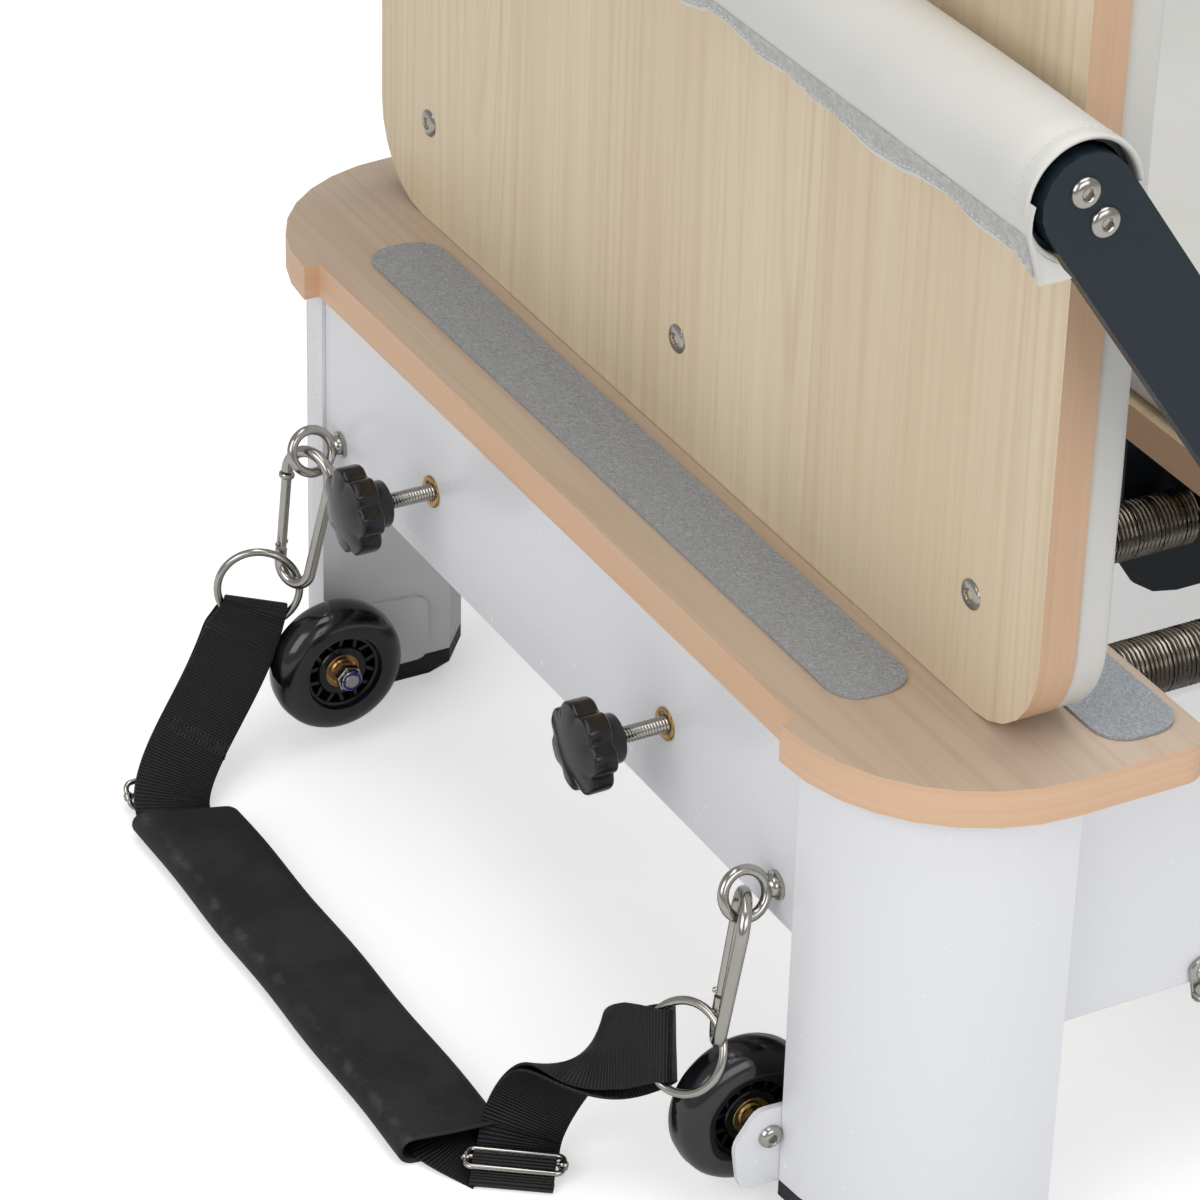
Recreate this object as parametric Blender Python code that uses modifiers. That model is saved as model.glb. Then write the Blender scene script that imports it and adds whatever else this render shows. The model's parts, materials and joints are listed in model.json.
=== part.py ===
"""Folding pilates reformer: a timber frame in two halves that folds at mid length,
a carriage on rollers under spring load, a padded foot bar on two arms, a lift-out
jump board clamped by star knobs, a foot strap on carabiners and two transport wheels.

Design frame: x runs from the front edge of the foot platform towards the head end,
y to the left, z up from the floor. The root empty shifts it so that the middle of
the whole object lies over the origin.
"""
import math

import bmesh
import bpy
from mathutils import Matrix, Vector

# Driving sizes, in metres
FRAME_LENGTH = 2.360
FRAME_WIDTH = 0.644
PLATFORM_TOP = 0.260
BOARD = 0.018
GAP = 0.0003
MERGE = 0.00001
SIDES = ((1, "left"), (-1, "right"))

# Platforms
PLATFORM_DEPTH = 0.150
PLATFORM_LIP = 0.008
PLATFORM_CORNER = 0.090
PLATFORM_REAR_CORNER = 0.015
PLATFORM_BOTTOM = PLATFORM_TOP - BOARD
GRIP_THICKNESS = 0.0012
GRIP_CORNER = 0.015
FRONT_GRIP_X = (0.0226, 0.0605)
FRONT_GRIP_HALF = FRAME_WIDTH / 2 - 0.092
REAR_GRIP_X = (0.1056, 0.1446)
REAR_GRIP_HALF = FRAME_WIDTH / 2 - 0.015

# Corner legs and their rubber glides
LEG_NOSE = 0.080
LEG_OUTER = FRAME_WIDTH / 2 - 0.010
LEG_INNER = LEG_OUTER - LEG_NOSE
LEG_FRONT_X = 0.002
LEG_REAR_X = LEG_FRONT_X + 0.089
LEG_FLAT_X = LEG_REAR_X - 0.017
LEG_REAR_INNER = LEG_INNER + 0.020
LIP_HALF = LEG_INNER - 0.0015
LEG_WALL = 0.0025
GLIDE_HEIGHT = 0.019
GLIDE_CHAMFER = 0.011
GLIDE_INSET = 0.009

# Side rails, end beams and cross rails
RAIL_OUTER = FRAME_WIDTH / 2 - 0.022
RAIL_THICKNESS = 0.040
RAIL_HEIGHT = 0.1255
RAIL_INNER = RAIL_OUTER - RAIL_THICKNESS
RAIL_BOTTOM = PLATFORM_BOTTOM - RAIL_HEIGHT
RAIL_START = LEG_REAR_X + GAP
BEAM_FACE_X = 0.004
BEAM_THICKNESS = 0.025
BEAM_HEIGHT = 0.0926
BEAM_BOTTOM = PLATFORM_BOTTOM - BEAM_HEIGHT
CROSS_WIDTH = 0.070
CROSS_HEIGHT = 0.030
CROSS_FROM_FOLD = 0.110
WOOD_EDGE = 0.0015

# Fold at mid length
FOLD_X = FRAME_LENGTH / 2
FOLD_GAP = 0.001
LEAF_THICKNESS = 0.004
LEAF_LENGTH = 0.080
LEAF_WIDTH = 0.036
KNUCKLE_RADIUS = 0.008
HINGE_PIN_RADIUS = 0.004
HINGE_CLEARANCE = 0.0003
LEAF_TOP = RAIL_BOTTOM - GAP
FOLD_Z = LEAF_TOP - KNUCKLE_RADIUS

# Jump board in its slot
JUMP_FACE_X = 0.0695
JUMP_HALF = FRAME_WIDTH / 2 - 0.0195
JUMP_TOP = PLATFORM_TOP + 0.500
JUMP_CORNER = 0.045
TONGUE_HALF = 0.162
TONGUE_DEPTH = 0.090
TONGUE_CORNER = 0.010
SLOT_CLEARANCE = 0.0006
JUMP_PAD_THICKNESS = 0.0186
JUMP_BACK_X = JUMP_FACE_X + BOARD

# Star knobs and their clamp pads
KNOB_Y = 0.115
KNOB_Z = PLATFORM_TOP - 0.0693
STUD_RADIUS = 0.004
STUD_CLEARANCE = 0.0003
HUB_RADIUS = 0.0115
HUB_LENGTH = 0.010
KNOB_THICKNESS = 0.012
KNOB_DOME = 0.003
KNOB_RADIUS = 0.0215
KNOB_LOBES = 7
LOBE_DEPTH = 0.0022
KNOB_HUB_X = -0.021
CLAMP_DISC_RADIUS = 0.011
CLAMP_DISC = 0.004
CLAMP_HUB_RADIUS = 0.007
CLAMP_HUB = 0.012
STUD_REACH = 0.007

# Transport wheels
WHEEL_X = -0.0035
WHEEL_RADIUS = 0.035
WHEEL_Z = WHEEL_RADIUS + 0.010
WHEEL_WIDTH = 0.024
WHEEL_MID_Y = LEG_INNER - 0.025
TREAD_WALL = 0.008
WEB_THICKNESS = 0.008
WHEEL_HUB_RADIUS = 0.0125
WHEEL_BORE = 0.0043
AXLE_RADIUS = 0.004
SPOKES = 7
BRACKET_THICKNESS = 0.003
AXLE_INNER_Y = WHEEL_MID_Y - 0.020
AXLE_NUT_RADIUS = 0.0065

# Foot bar
BAR_X = 0.0365
BAR_Z = PLATFORM_TOP + 0.2885
BAR_PAD_RADIUS = 0.0264
BAR_PAD_EDGE = 0.0012
BAR_TUBE_RADIUS = 0.0235
BAR_TUBE_WALL = 0.002
ARM_INNER = FRAME_WIDTH / 2 + 0.026
ARM_THICKNESS = 0.008
ARM_WIDTH = 0.0404
ARM_LENGTH = 0.417
ARM_SLOPE = math.radians(55)
PIVOT_X = BAR_X + ARM_LENGTH * math.cos(ARM_SLOPE)
PIVOT_Z = BAR_Z - ARM_LENGTH * math.sin(ARM_SLOPE)
PIVOT_PIN_RADIUS = 0.008
PIVOT_BARREL_RADIUS = 0.017
PIVOT_FLANGE_RADIUS = 0.034
PIVOT_FLANGE = 0.006
PIVOT_CAP_RADIUS = 0.014
PIVOT_CAP = 0.005

# Carriage
CARRIAGE_LENGTH = 0.650
CARRIAGE_X = (PLATFORM_DEPTH + 0.100, PLATFORM_DEPTH + 0.100 + CARRIAGE_LENGTH)
CARRIAGE_HALF = RAIL_OUTER - 0.013
CARRIAGE_BOTTOM = PLATFORM_TOP + 0.008
CARRIAGE_CORNER = 0.020
CARRIAGE_PAD_X = (CARRIAGE_X[0] + 0.002, CARRIAGE_X[1] - 0.034)
CARRIAGE_PAD = 0.044
CARRIAGE_TOP = CARRIAGE_BOTTOM + BOARD
PLATE_THICKNESS = 0.003
PLATE_X = (CARRIAGE_X[0] + 0.012, CARRIAGE_X[1] - 0.014)
PLATE_DROP = 0.101
HOOK_BAR = 0.016
INNER_HOOK_X = CARRIAGE_X[0] + 0.046
OUTER_HOOK_X = CARRIAGE_X[0] + 0.230
ROLLER_RADIUS = (CARRIAGE_BOTTOM - PLATFORM_BOTTOM) / 2 - 0.001
ROLLER_WIDTH = 0.020
ROLLER_Y = RAIL_OUTER - RAIL_THICKNESS / 2
ROLLER_X = (CARRIAGE_X[0] + 0.100, CARRIAGE_X[1] - 0.090)
ROLLER_ARM = 0.040
ROLLER_ARM_THICKNESS = 0.006
SHOULDER_X = CARRIAGE_PAD_X[1] + 0.0065
SHOULDER_THICKNESS = 0.0255
SHOULDER_Y = (0.090, 0.205)
SHOULDER_HEIGHT = 0.115
HEADREST_LENGTH = 0.200
HEADREST_HALF = 0.082
HEADREST_GAP = 0.014
HEADREST_SUPPORT = (CARRIAGE_X[1] - 0.080, CARRIAGE_X[1] + 0.160)
HEADREST_SUPPORT_HALF = 0.030

# Springs between the anchor bar and the carriage
SPRING_Z = PLATFORM_TOP - 0.040
SPRING_RADIUS = 0.014
SPRING_WIRE = 0.0023
SPRING_SPACING = 0.1035
PLATE_Y = SPRING_SPACING - SPRING_RADIUS - 0.0045
INNER_HOOK_HALF = SPRING_SPACING + 0.0215
OUTER_HOOK_HALF = 2 * SPRING_SPACING + 0.019
ANCHOR_X = PLATFORM_DEPTH - 0.042
INNER_CURLS = 7
OUTER_CURLS = 12
CURL_POINTS = 8

# Foot strap: eyebolts, carabiners with their rings, webbing and sleeve
EYE_Y = LEG_INNER - 0.017
EYE_Z = PLATFORM_TOP - 0.094
EYE_X = -0.012
EYE_RADIUS = 0.0107
EYE_WIRE = 0.0025
EYE_TWIST = math.radians(20)
EYE_COLLAR_RADIUS = 0.0055
CARABINER_LENGTH = 0.078
CARABINER_WIRE = 0.003
CARABINER_WIDE = 0.0135
CARABINER_NARROW = 0.0095
CARABINER_SEAT = 0.001
CARABINER_LEAN = math.radians(9)
CARABINER_TURN = {"left": math.radians(-64), "right": math.radians(63)}
RING_RADIUS = 0.0205
RING_WIRE = 0.002
# The left and right ends lie differently at rest: directions of each ring, its fold and its strap
RING_PULL = {"left": (-0.10, 0.0, -0.99), "right": (-0.49, 0.82, -0.29)}
RING_SPREAD = {"left": (0.91, -0.41, -0.02), "right": (-0.25, -0.45, -0.86)}
FOLD_ROLL = {"left": math.radians(16), "right": 0.0}
RING_HANG = {"left": math.radians(-78), "right": math.radians(18)}
WEBBING_WIDTH = 0.038
WEBBING_THICKNESS = 0.0016
FOLD_WIDTH = 2 * (RING_RADIUS - RING_WIRE) - 0.005
FOLD_TAPER = 0.030
LAYER_GAP = 0.0006
LOOP_GAP = RING_WIRE + 0.0005
LOOP_SPREAD = {"left": 0.0085, "right": 0.0090}
LOOP_RISE = 0.009
LOOP_HOLD = 0.012
LOOP_LENGTH = 0.060
STRAP_DROP = {"left": (-0.45, -0.20, -0.85), "right": (-0.58, 0.65, -0.50)}
STRAP_REACH_UP = 0.050
STRAP_REACH_IN = 0.026
STRAP_STATIONS = 16
SLEEVE_X = -0.1075
SLEEVE_Y = (0.085 - EYE_Y, EYE_Y - 0.055)
SLEEVE_SLANT = {"left": -0.35, "right": -0.15}
SLEEVE_WIDTH = 0.051
SLEEVE_HEIGHT = 0.015
SLEEVE_WALL = 0.0025
SLEEVE_Z = SLEEVE_HEIGHT / 2 + GAP
WEBBING_FLOOR_Z = SLEEVE_WALL + 2 * GAP + WEBBING_THICKNESS / 2

# Head end posts
POST_FROM_END = 0.060
POST_Y = RAIL_OUTER - 0.045
POST_HEIGHT = 0.230
POST_RADIUS = 0.016
POST_FLANGE_RADIUS = 0.038
POST_FLANGE = 0.006
PULLEY_RADIUS = 0.026
PULLEY_WIDTH = 0.014

STRAP_REACH = -(SLEEVE_X - SLEEVE_WIDTH / 2)
ORIGIN_X = (FRAME_LENGTH + PLATFORM_LIP - STRAP_REACH) / 2

# Finishes: base colour, roughness, metallic
FINISHES = {
    "oak board": ((0.62, 0.49, 0.35), 0.50, 0.0),
    "white paint": ((0.80, 0.81, 0.84), 0.30, 0.0),
    "white upholstery": ((0.78, 0.78, 0.76), 0.55, 0.0),
    "grey grip": ((0.29, 0.29, 0.30), 0.85, 0.0),
    "black rubber": ((0.02, 0.02, 0.02), 0.55, 0.0),
    "black plastic": ((0.015, 0.015, 0.015), 0.25, 0.0),
    "dark steel": ((0.03, 0.04, 0.055), 0.40, 0.6),
    "bright steel": ((0.62, 0.61, 0.58), 0.25, 1.0),
    "zinc steel": ((0.70, 0.71, 0.72), 0.35, 1.0),
    "black webbing": ((0.015, 0.015, 0.018), 0.80, 0.0),
}


def clear_scene():
    for obj in list(bpy.data.objects):
        bpy.data.objects.remove(obj, do_unlink=True)


def new_collection(name):
    collection = bpy.data.collections.new(name)
    bpy.context.scene.collection.children.link(collection)
    return collection


def finish_material(node, finish):
    """Own material for one piece, in one of the object's finishes."""
    colour, roughness, metallic = FINISHES[finish]
    material = bpy.data.materials.new(f"{node} {finish}")
    material.use_nodes = True
    shader = material.node_tree.nodes["Principled BSDF"]
    shader.inputs["Base Color"].default_value = (*colour, 1.0)
    shader.inputs["Roughness"].default_value = roughness
    shader.inputs["Metallic"].default_value = metallic
    return material


clear_scene()
PARTS = new_collection("folding pilates reformer")
CUTTERS = new_collection("cutters and joined shapes")
ROOT = bpy.data.objects.new("reformer", None)
ROOT.location = (-ORIGIN_X, 0, 0)
PARTS.objects.link(ROOT)


def body_empty(name, pivot, parent=None):
    """Empty on a joint's axis that carries the pieces of one moving body."""
    empty = bpy.data.objects.new(name, None)
    empty.location = pivot
    PARTS.objects.link(empty)
    carry(empty, parent)
    return empty


def carry(obj, body):
    """Hang an object on a body's empty, or on the root, with its place unchanged."""
    obj.parent = body or ROOT
    pivot = design_place(body) if body else Vector((0, 0, 0))
    obj.matrix_parent_inverse = Matrix.Translation(pivot).inverted()


def design_place(empty):
    """Place of a body's empty in the design frame; its own location is in that frame."""
    return empty.location.copy()


def new_object(name, data):
    obj = bpy.data.objects.new(name, data)
    PARTS.objects.link(obj)
    return obj


def piece(obj, finish, body=None):
    """Give a shape its finish and its body."""
    obj.data.materials.clear()
    obj.data.materials.append(finish_material(obj.name, finish))
    carry(obj, body)
    return obj


def to_mesh(obj):
    """Turn a curve object into a welded mesh object of the same name and place."""
    bpy.context.view_layer.update()
    evaluated = obj.evaluated_get(bpy.context.evaluated_depsgraph_get())
    mesh = bpy.data.meshes.new_from_object(evaluated)
    weld = bmesh.new()
    weld.from_mesh(mesh)
    bmesh.ops.remove_doubles(weld, verts=weld.verts, dist=MERGE)
    weld.to_mesh(mesh)
    weld.free()
    name = obj.name
    place = obj.matrix_world.copy()
    bpy.data.objects.remove(obj, do_unlink=True)
    solid = new_object(name, mesh)
    solid.matrix_world = place
    return solid


def combine(obj, tools, operation, body=None):
    """Boolean of a piece with one or more shapes that sit in the same design frame."""
    for tool in tools:
        carry(tool, body)
        PARTS.objects.unlink(tool)
        CUTTERS.objects.link(tool)
        tool.hide_render = True
        tool.display_type = "WIRE"
        modifier = obj.modifiers.new(f"{operation.lower()} {tool.name}", "BOOLEAN")
        modifier.operation = operation
        modifier.object = tool
        modifier.solver = "EXACT"


def box(name, x, y, z, bevel=0.0, segments=1):
    """Block between its limits along x, y and z."""
    mesh = bpy.data.meshes.new(name)
    size = Vector((x[1] - x[0], y[1] - y[0], z[1] - z[0]))
    shape = bmesh.new()
    bmesh.ops.create_cube(shape, size=1, matrix=Matrix.Diagonal((*size, 1)))
    shape.to_mesh(mesh)
    shape.free()
    obj = new_object(name, mesh)
    obj.location = ((x[0] + x[1]) / 2, (y[0] + y[1]) / 2, (z[0] + z[1]) / 2)
    if bevel:
        soften(obj, bevel, segments)
    return obj


def soften(obj, width, segments):
    modifier = obj.modifiers.new("rounded edges", "BEVEL")
    modifier.width = width
    modifier.segments = segments
    modifier.limit_method = "ANGLE"


def arc(centre, radius, start, end, steps):
    """Points on an arc, from one angle to another, in degrees."""
    points = []
    for k in range(steps + 1):
        angle = math.radians(start + (end - start) * k / steps)
        points.append((centre[0] + radius * math.cos(angle), centre[1] + radius * math.sin(angle)))
    return points


def circle(u, v, radius, steps=16):
    return arc((u, v), radius, 0, 360 - 360 / steps, steps - 1)


def rounded(corners, steps=5):
    """Closed outline through (u, v, radius) corners, each one rounded by an arc."""
    outline = []
    for i, (u, v, radius) in enumerate(corners):
        here = Vector((u, v))
        if radius == 0:
            outline.append((u, v))
            continue
        before = (Vector(corners[i - 1][:2]) - here).normalized()
        after = (Vector(corners[(i + 1) % len(corners)][:2]) - here).normalized()
        half = before.angle(after) / 2
        centre = here + (before + after).normalized() * (radius / math.sin(half))
        start = here + before * (radius / math.tan(half)) - centre
        end = here + after * (radius / math.tan(half)) - centre
        first = math.degrees(math.atan2(start.y, start.x))
        turn = math.degrees(math.atan2(end.y, end.x)) - first
        turn = (turn + 180) % 360 - 180
        outline += arc(centre, radius, first, first + turn, steps)
    return outline


def rectangle(u, v, radius, inset=0.0, steps=5):
    """Rounded rectangle between limits u and v, drawn in by an inset."""
    corner = max(radius - inset, 0.002)
    u_low, u_high = u[0] + inset, u[1] - inset
    v_low, v_high = v[0] + inset, v[1] - inset
    corners = [(u_low, v_low), (u_high, v_low), (u_high, v_high), (u_low, v_high)]
    return rounded([(a, b, corner) for a, b in corners], steps)


# Turn from a drawing plane to the design frame: the drawing's normal becomes the named axis
PLANES = {"z": (0, 0, 0), "y": (math.pi / 2, 0, 0), "x": (math.pi / 2, 0, math.pi / 2)}


def plate(name, outline, span, axis, holes=()):
    """Flat outline with holes, drawn square to an axis, as thick as the span."""
    curve = bpy.data.curves.new(name, "CURVE")
    curve.dimensions = "2D"
    curve.fill_mode = "BOTH"
    curve.extrude = abs(span[1] - span[0]) / 2
    for ring in (outline, *holes):
        spline = curve.splines.new("POLY")
        spline.points.add(len(ring) - 1)
        for point, (u, v) in zip(spline.points, ring):
            point.co = (u, v, 0, 1)
        spline.use_cyclic_u = True
    obj = new_object(name, curve)
    obj.rotation_euler = PLANES[axis]
    middle = (span[0] + span[1]) / 2
    obj.location["xyz".index(axis)] = middle
    return obj


def turned(name, profile, centre, direction, steps=24, closed=False):
    """Profile of (distance, radius) pairs, far end first down the outer side, revolved."""
    mesh = bpy.data.meshes.new(name)
    shape = bmesh.new()
    verts = [shape.verts.new((radius, 0, distance)) for distance, radius in profile]
    pairs = list(zip(verts, verts[1:]))
    if closed:
        pairs.append((verts[-1], verts[0]))
    for pair in pairs:
        shape.edges.new(pair)
    shape.to_mesh(mesh)
    shape.free()
    obj = new_object(name, mesh)
    obj.location = centre
    obj.rotation_euler = Vector(direction).to_track_quat("Z", "Y").to_euler()
    screw = obj.modifiers.new("turned", "SCREW")
    screw.steps = steps
    screw.render_steps = steps
    screw.use_merge_vertices = True
    screw.merge_threshold = 0.0001
    screw.use_smooth_shade = True
    return obj


def wire(name, points, radius, closed=False, resolution=2):
    """Round wire or tube along a row of points."""
    curve = bpy.data.curves.new(name, "CURVE")
    curve.dimensions = "3D"
    curve.bevel_depth = radius
    curve.bevel_resolution = resolution
    curve.use_fill_caps = not closed
    spline = curve.splines.new("POLY")
    spline.points.add(len(points) - 1)
    for point, place in zip(spline.points, points):
        point.co = (*place, 1)
    spline.use_cyclic_u = closed
    return new_object(name, curve)


def loft(name, rings):
    """Skin over a row of rings with equal point counts, closed at both ends."""
    shape = bmesh.new()
    rows = [[shape.verts.new(point) for point in ring] for ring in rings]
    count = len(rows[0])
    for low, high in zip(rows, rows[1:]):
        for i in range(count):
            j = (i + 1) % count
            shape.faces.new((low[i], low[j], high[j], high[i]))
    shape.faces.new(rows[0])
    shape.faces.new(rows[-1])
    bmesh.ops.recalc_face_normals(shape, faces=shape.faces)
    mesh = bpy.data.meshes.new(name)
    shape.to_mesh(mesh)
    shape.free()
    mesh.shade_smooth()
    mesh.set_sharp_from_angle(angle=math.radians(40))
    return new_object(name, mesh)


def cushion(name, u, v, corner, base, thickness, axis, crown, steps=5):
    """Upholstered pad on a flat base: sides drawn in at mid height and a crowned top."""
    top = thickness - crown
    roll = min(0.010, thickness / 3)
    reach = min(u[1] - u[0], v[1] - v[0]) / 2
    levels = (
        (0.0030, 0.0),
        (0.0004, roll * 0.5),
        (0.0018, top * 0.45),
        (0.0004, top - roll * 0.6),
        (0.0040, top),
        (reach * 0.25, top + crown * 0.55),
        (reach * 0.60, top + crown),
    )
    rings = []
    for inset, height in levels:
        ring = rectangle(u, v, corner, inset, steps)
        rings.append([(a, b, base + height) for a, b in ring])
    obj = loft(name, rings)
    obj.rotation_euler = PLANES[axis]
    return obj


def from_head(x):
    """The same distance measured back from the head end."""
    return FRAME_LENGTH - x


def limits(a, b):
    return (min(a, b), max(a, b))


def platform_outline(mirror):
    """Rounded front corners stand proud of the recessed middle; small rear corners."""
    half = FRAME_WIDTH / 2
    corners = [
        (0.0, LIP_HALF, 0.0),
        (-PLATFORM_LIP, LIP_HALF, 0.0),
        (-PLATFORM_LIP, half, PLATFORM_CORNER),
        (PLATFORM_DEPTH, half, PLATFORM_REAR_CORNER),
    ]
    corners += [(x, -y, radius) for x, y, radius in reversed(corners)]
    outline = rounded(corners, 8)
    if mirror:
        outline = [(from_head(x), y) for x, y in outline]
    return outline


def make_platforms(head_body):
    slot_x = (JUMP_FACE_X - SLOT_CLEARANCE, JUMP_BACK_X + SLOT_CLEARANCE)
    slot_half = TONGUE_HALF + SLOT_CLEARANCE
    slot = rectangle(slot_x, (-slot_half, slot_half), 0.002, steps=2)
    span = (PLATFORM_BOTTOM, PLATFORM_TOP)
    piece(plate("foot_platform", platform_outline(False), span, "z", [slot]), "oak board")
    head = platform_outline(True)
    piece(plate("head_platform", head, span, "z"), "oak board", head_body)
    level = (PLATFORM_TOP + GAP, PLATFORM_TOP + GAP + GRIP_THICKNESS)
    strips = (
        ("grip_strip_front", FRONT_GRIP_X, FRONT_GRIP_HALF),
        ("grip_strip_rear", REAR_GRIP_X, REAR_GRIP_HALF),
    )
    for name, x, half in strips:
        outline = rectangle(x, (-half, half), GRIP_CORNER)
        piece(plate(name, outline, level, "z"), "grey grip")


def leg_outline(side, mirror, wall=0.0):
    """D section: round nose towards the end of the frame, flat inner face, cut rear corner."""
    centre = (LEG_FRONT_X + LEG_NOSE, LEG_INNER)
    nose = LEG_NOSE - wall
    outline = [
        (LEG_FLAT_X - wall / 2, LEG_INNER + wall),
        (LEG_REAR_X - wall, LEG_REAR_INNER + wall / 2),
        (LEG_REAR_X - wall, LEG_OUTER - wall),
    ]
    outline += arc(centre, nose, 90, 180 - math.degrees(math.asin(wall / nose)), 8)
    outline = [(x, side * y) for x, y in outline]
    if mirror:
        outline = [(from_head(x), y) for x, y in outline]
    return outline


def make_legs(end, mirror, body=None):
    for side, tag in SIDES:
        outline = leg_outline(side, mirror)
        hollow = leg_outline(side, mirror, LEG_WALL)
        span = (GLIDE_HEIGHT + GAP, PLATFORM_BOTTOM - GAP)
        leg = plate(f"{end}_leg_{tag}", outline, span, "z", [hollow])
        if end == "head":
            foot = glide(f"head glide {tag}", outline, GLIDE_HEIGHT + 2 * GAP)
            leg = to_mesh(leg)
            combine(leg, [foot], "UNION", body)
            piece(leg, "white paint", body)
        else:
            piece(leg, "white paint", body)
            piece(glide(f"foot_glide_{tag}", outline, GLIDE_HEIGHT), "black rubber", body)


def glide(name, outline, height):
    """Rubber foot under a leg, with a chamfer round its lower edge."""
    middle_x = sum(x for x, y in outline) / len(outline)
    middle_y = sum(y for x, y in outline) / len(outline)
    reach = LEG_NOSE / 2
    shrink = 1 - GLIDE_INSET / reach
    sole = [(middle_x + (x - middle_x) * shrink, middle_y + (y - middle_y) * shrink) for x, y in outline]
    rings = [
        [(x, y, 0.0) for x, y in sole],
        [(x, y, GLIDE_CHAMFER) for x, y in outline],
        [(x, y, height) for x, y in outline],
    ]
    return loft(name, rings)


def make_frame_half(end, mirror, body=None):
    """Side rails, end beam and cross rail of one half."""
    place = from_head if mirror else (lambda x: x)
    for side, tag in SIDES:
        x = limits(place(RAIL_START), place(FOLD_X - FOLD_GAP / 2))
        y = limits(side * RAIL_INNER, side * RAIL_OUTER)
        rail = box(f"{end}_rail_{tag}", x, y, (RAIL_BOTTOM, PLATFORM_BOTTOM - GAP), WOOD_EDGE)
        piece(rail, "white paint", body)
    half = LEG_INNER - GAP
    x = limits(place(BEAM_FACE_X), place(BEAM_FACE_X + BEAM_THICKNESS))
    beam = box(f"{end}_end_beam", x, (-half, half), (BEAM_BOTTOM, PLATFORM_BOTTOM - GAP))
    if not mirror:
        holes = []
        for side, tag in SIDES:
            radius = STUD_RADIUS + STUD_CLEARANCE
            centre = (BEAM_FACE_X - 0.005, side * KNOB_Y, KNOB_Z)
            length = BEAM_THICKNESS + 0.010
            profile = [(length, 0), (length, radius), (0, radius), (0, 0)]
            holes.append(turned(f"knob hole {tag}", profile, centre, (1, 0, 0), 16))
        combine(beam, holes, "DIFFERENCE", body)
    piece(beam, "white paint", body)
    near = FOLD_X - CROSS_FROM_FOLD
    x = limits(place(near - CROSS_WIDTH), place(near))
    half = RAIL_INNER - GAP
    cross = box(f"{end}_cross_rail", x, (-half, half), (RAIL_BOTTOM, RAIL_BOTTOM + CROSS_HEIGHT))
    piece(cross, "white paint", body)


def make_fold_hinges(head_body):
    """Butt hinges under the rails: two knuckles and the pin on the foot leaf, one between."""
    third = LEAF_WIDTH / 3
    middle_y = (RAIL_INNER + RAIL_OUTER) / 2
    notch_x = KNUCKLE_RADIUS + HINGE_CLEARANCE
    leaf_z = (LEAF_TOP - LEAF_THICKNESS, LEAF_TOP)
    for side, tag in SIDES:
        low = side * middle_y - LEAF_WIDTH / 2
        high = low + LEAF_WIDTH
        between = (low + third - HINGE_CLEARANCE, high - third + HINGE_CLEARANCE)
        outer = ((low, low + third), (high - third, high))
        centre = (FOLD_X, 0, FOLD_Z)

        foot = box(f"foot_hinge_leaf_{tag}", (FOLD_X - LEAF_LENGTH, FOLD_X), (low, high), leaf_z)
        notch = box(f"foot notch {tag}", (FOLD_X - notch_x, FOLD_X + notch_x), between,
                    (FOLD_Z - notch_x, LEAF_TOP + notch_x))
        combine(foot, [notch], "DIFFERENCE")
        knuckles = [barrel(f"foot knuckle {tag} {k}", centre, ends, KNUCKLE_RADIUS)
                    for k, ends in enumerate(outer)]
        pin = barrel(f"fold pin {tag}", centre, (low - 0.002, high + 0.002), HINGE_PIN_RADIUS)
        combine(foot, [*knuckles, pin], "UNION")
        piece(foot, "zinc steel")

        head = box(f"head_hinge_leaf_{tag}", (FOLD_X, FOLD_X + LEAF_LENGTH), (low, high), leaf_z)
        notches = []
        for k, (start, end) in enumerate(outer):
            y = (start - HINGE_CLEARANCE, end + HINGE_CLEARANCE)
            notches.append(box(f"head notch {tag} {k}", (FOLD_X - notch_x, FOLD_X + notch_x), y,
                               (FOLD_Z - notch_x, LEAF_TOP + notch_x)))
        combine(head, notches, "DIFFERENCE", head_body)
        inner = (low + third + HINGE_CLEARANCE, high - third - HINGE_CLEARANCE)
        knuckle = barrel(f"head knuckle {tag}", centre, inner, KNUCKLE_RADIUS)
        combine(head, [knuckle], "UNION", head_body)
        bore = barrel(f"head bore {tag}", centre, (low, high), HINGE_PIN_RADIUS + HINGE_CLEARANCE)
        combine(head, [bore], "DIFFERENCE", head_body)
        piece(head, "zinc steel", head_body)


def barrel(name, centre, y, radius, steps=20):
    """Round bar along y between two limits, through a centre in x and z."""
    length = y[1] - y[0]
    profile = [(length, 0), (length, radius), (0, radius), (0, 0)]
    return turned(name, profile, (centre[0], y[0], centre[2]), (0, 1, 0), steps)


def make_jump_board(body):
    bottom = PLATFORM_TOP + GAP
    tongue_bottom = PLATFORM_TOP - TONGUE_DEPTH
    right = [
        (TONGUE_HALF, tongue_bottom, TONGUE_CORNER),
        (TONGUE_HALF, bottom, 0.0),
        (JUMP_HALF, bottom, JUMP_CORNER),
        (JUMP_HALF, JUMP_TOP, JUMP_CORNER),
    ]
    corners = right + [(-y, z, radius) for y, z, radius in reversed(right)]
    board = plate("jump_board", rounded(corners, 6), (JUMP_FACE_X, JUMP_BACK_X), "x")
    piece(board, "oak board", body)
    pad = cushion("jump_board_pad", (-JUMP_HALF, JUMP_HALF), (bottom, JUMP_TOP), JUMP_CORNER,
                  JUMP_BACK_X + GAP, JUMP_PAD_THICKNESS, "x", 0.004, 6)
    piece(pad, "white upholstery", body)


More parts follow.
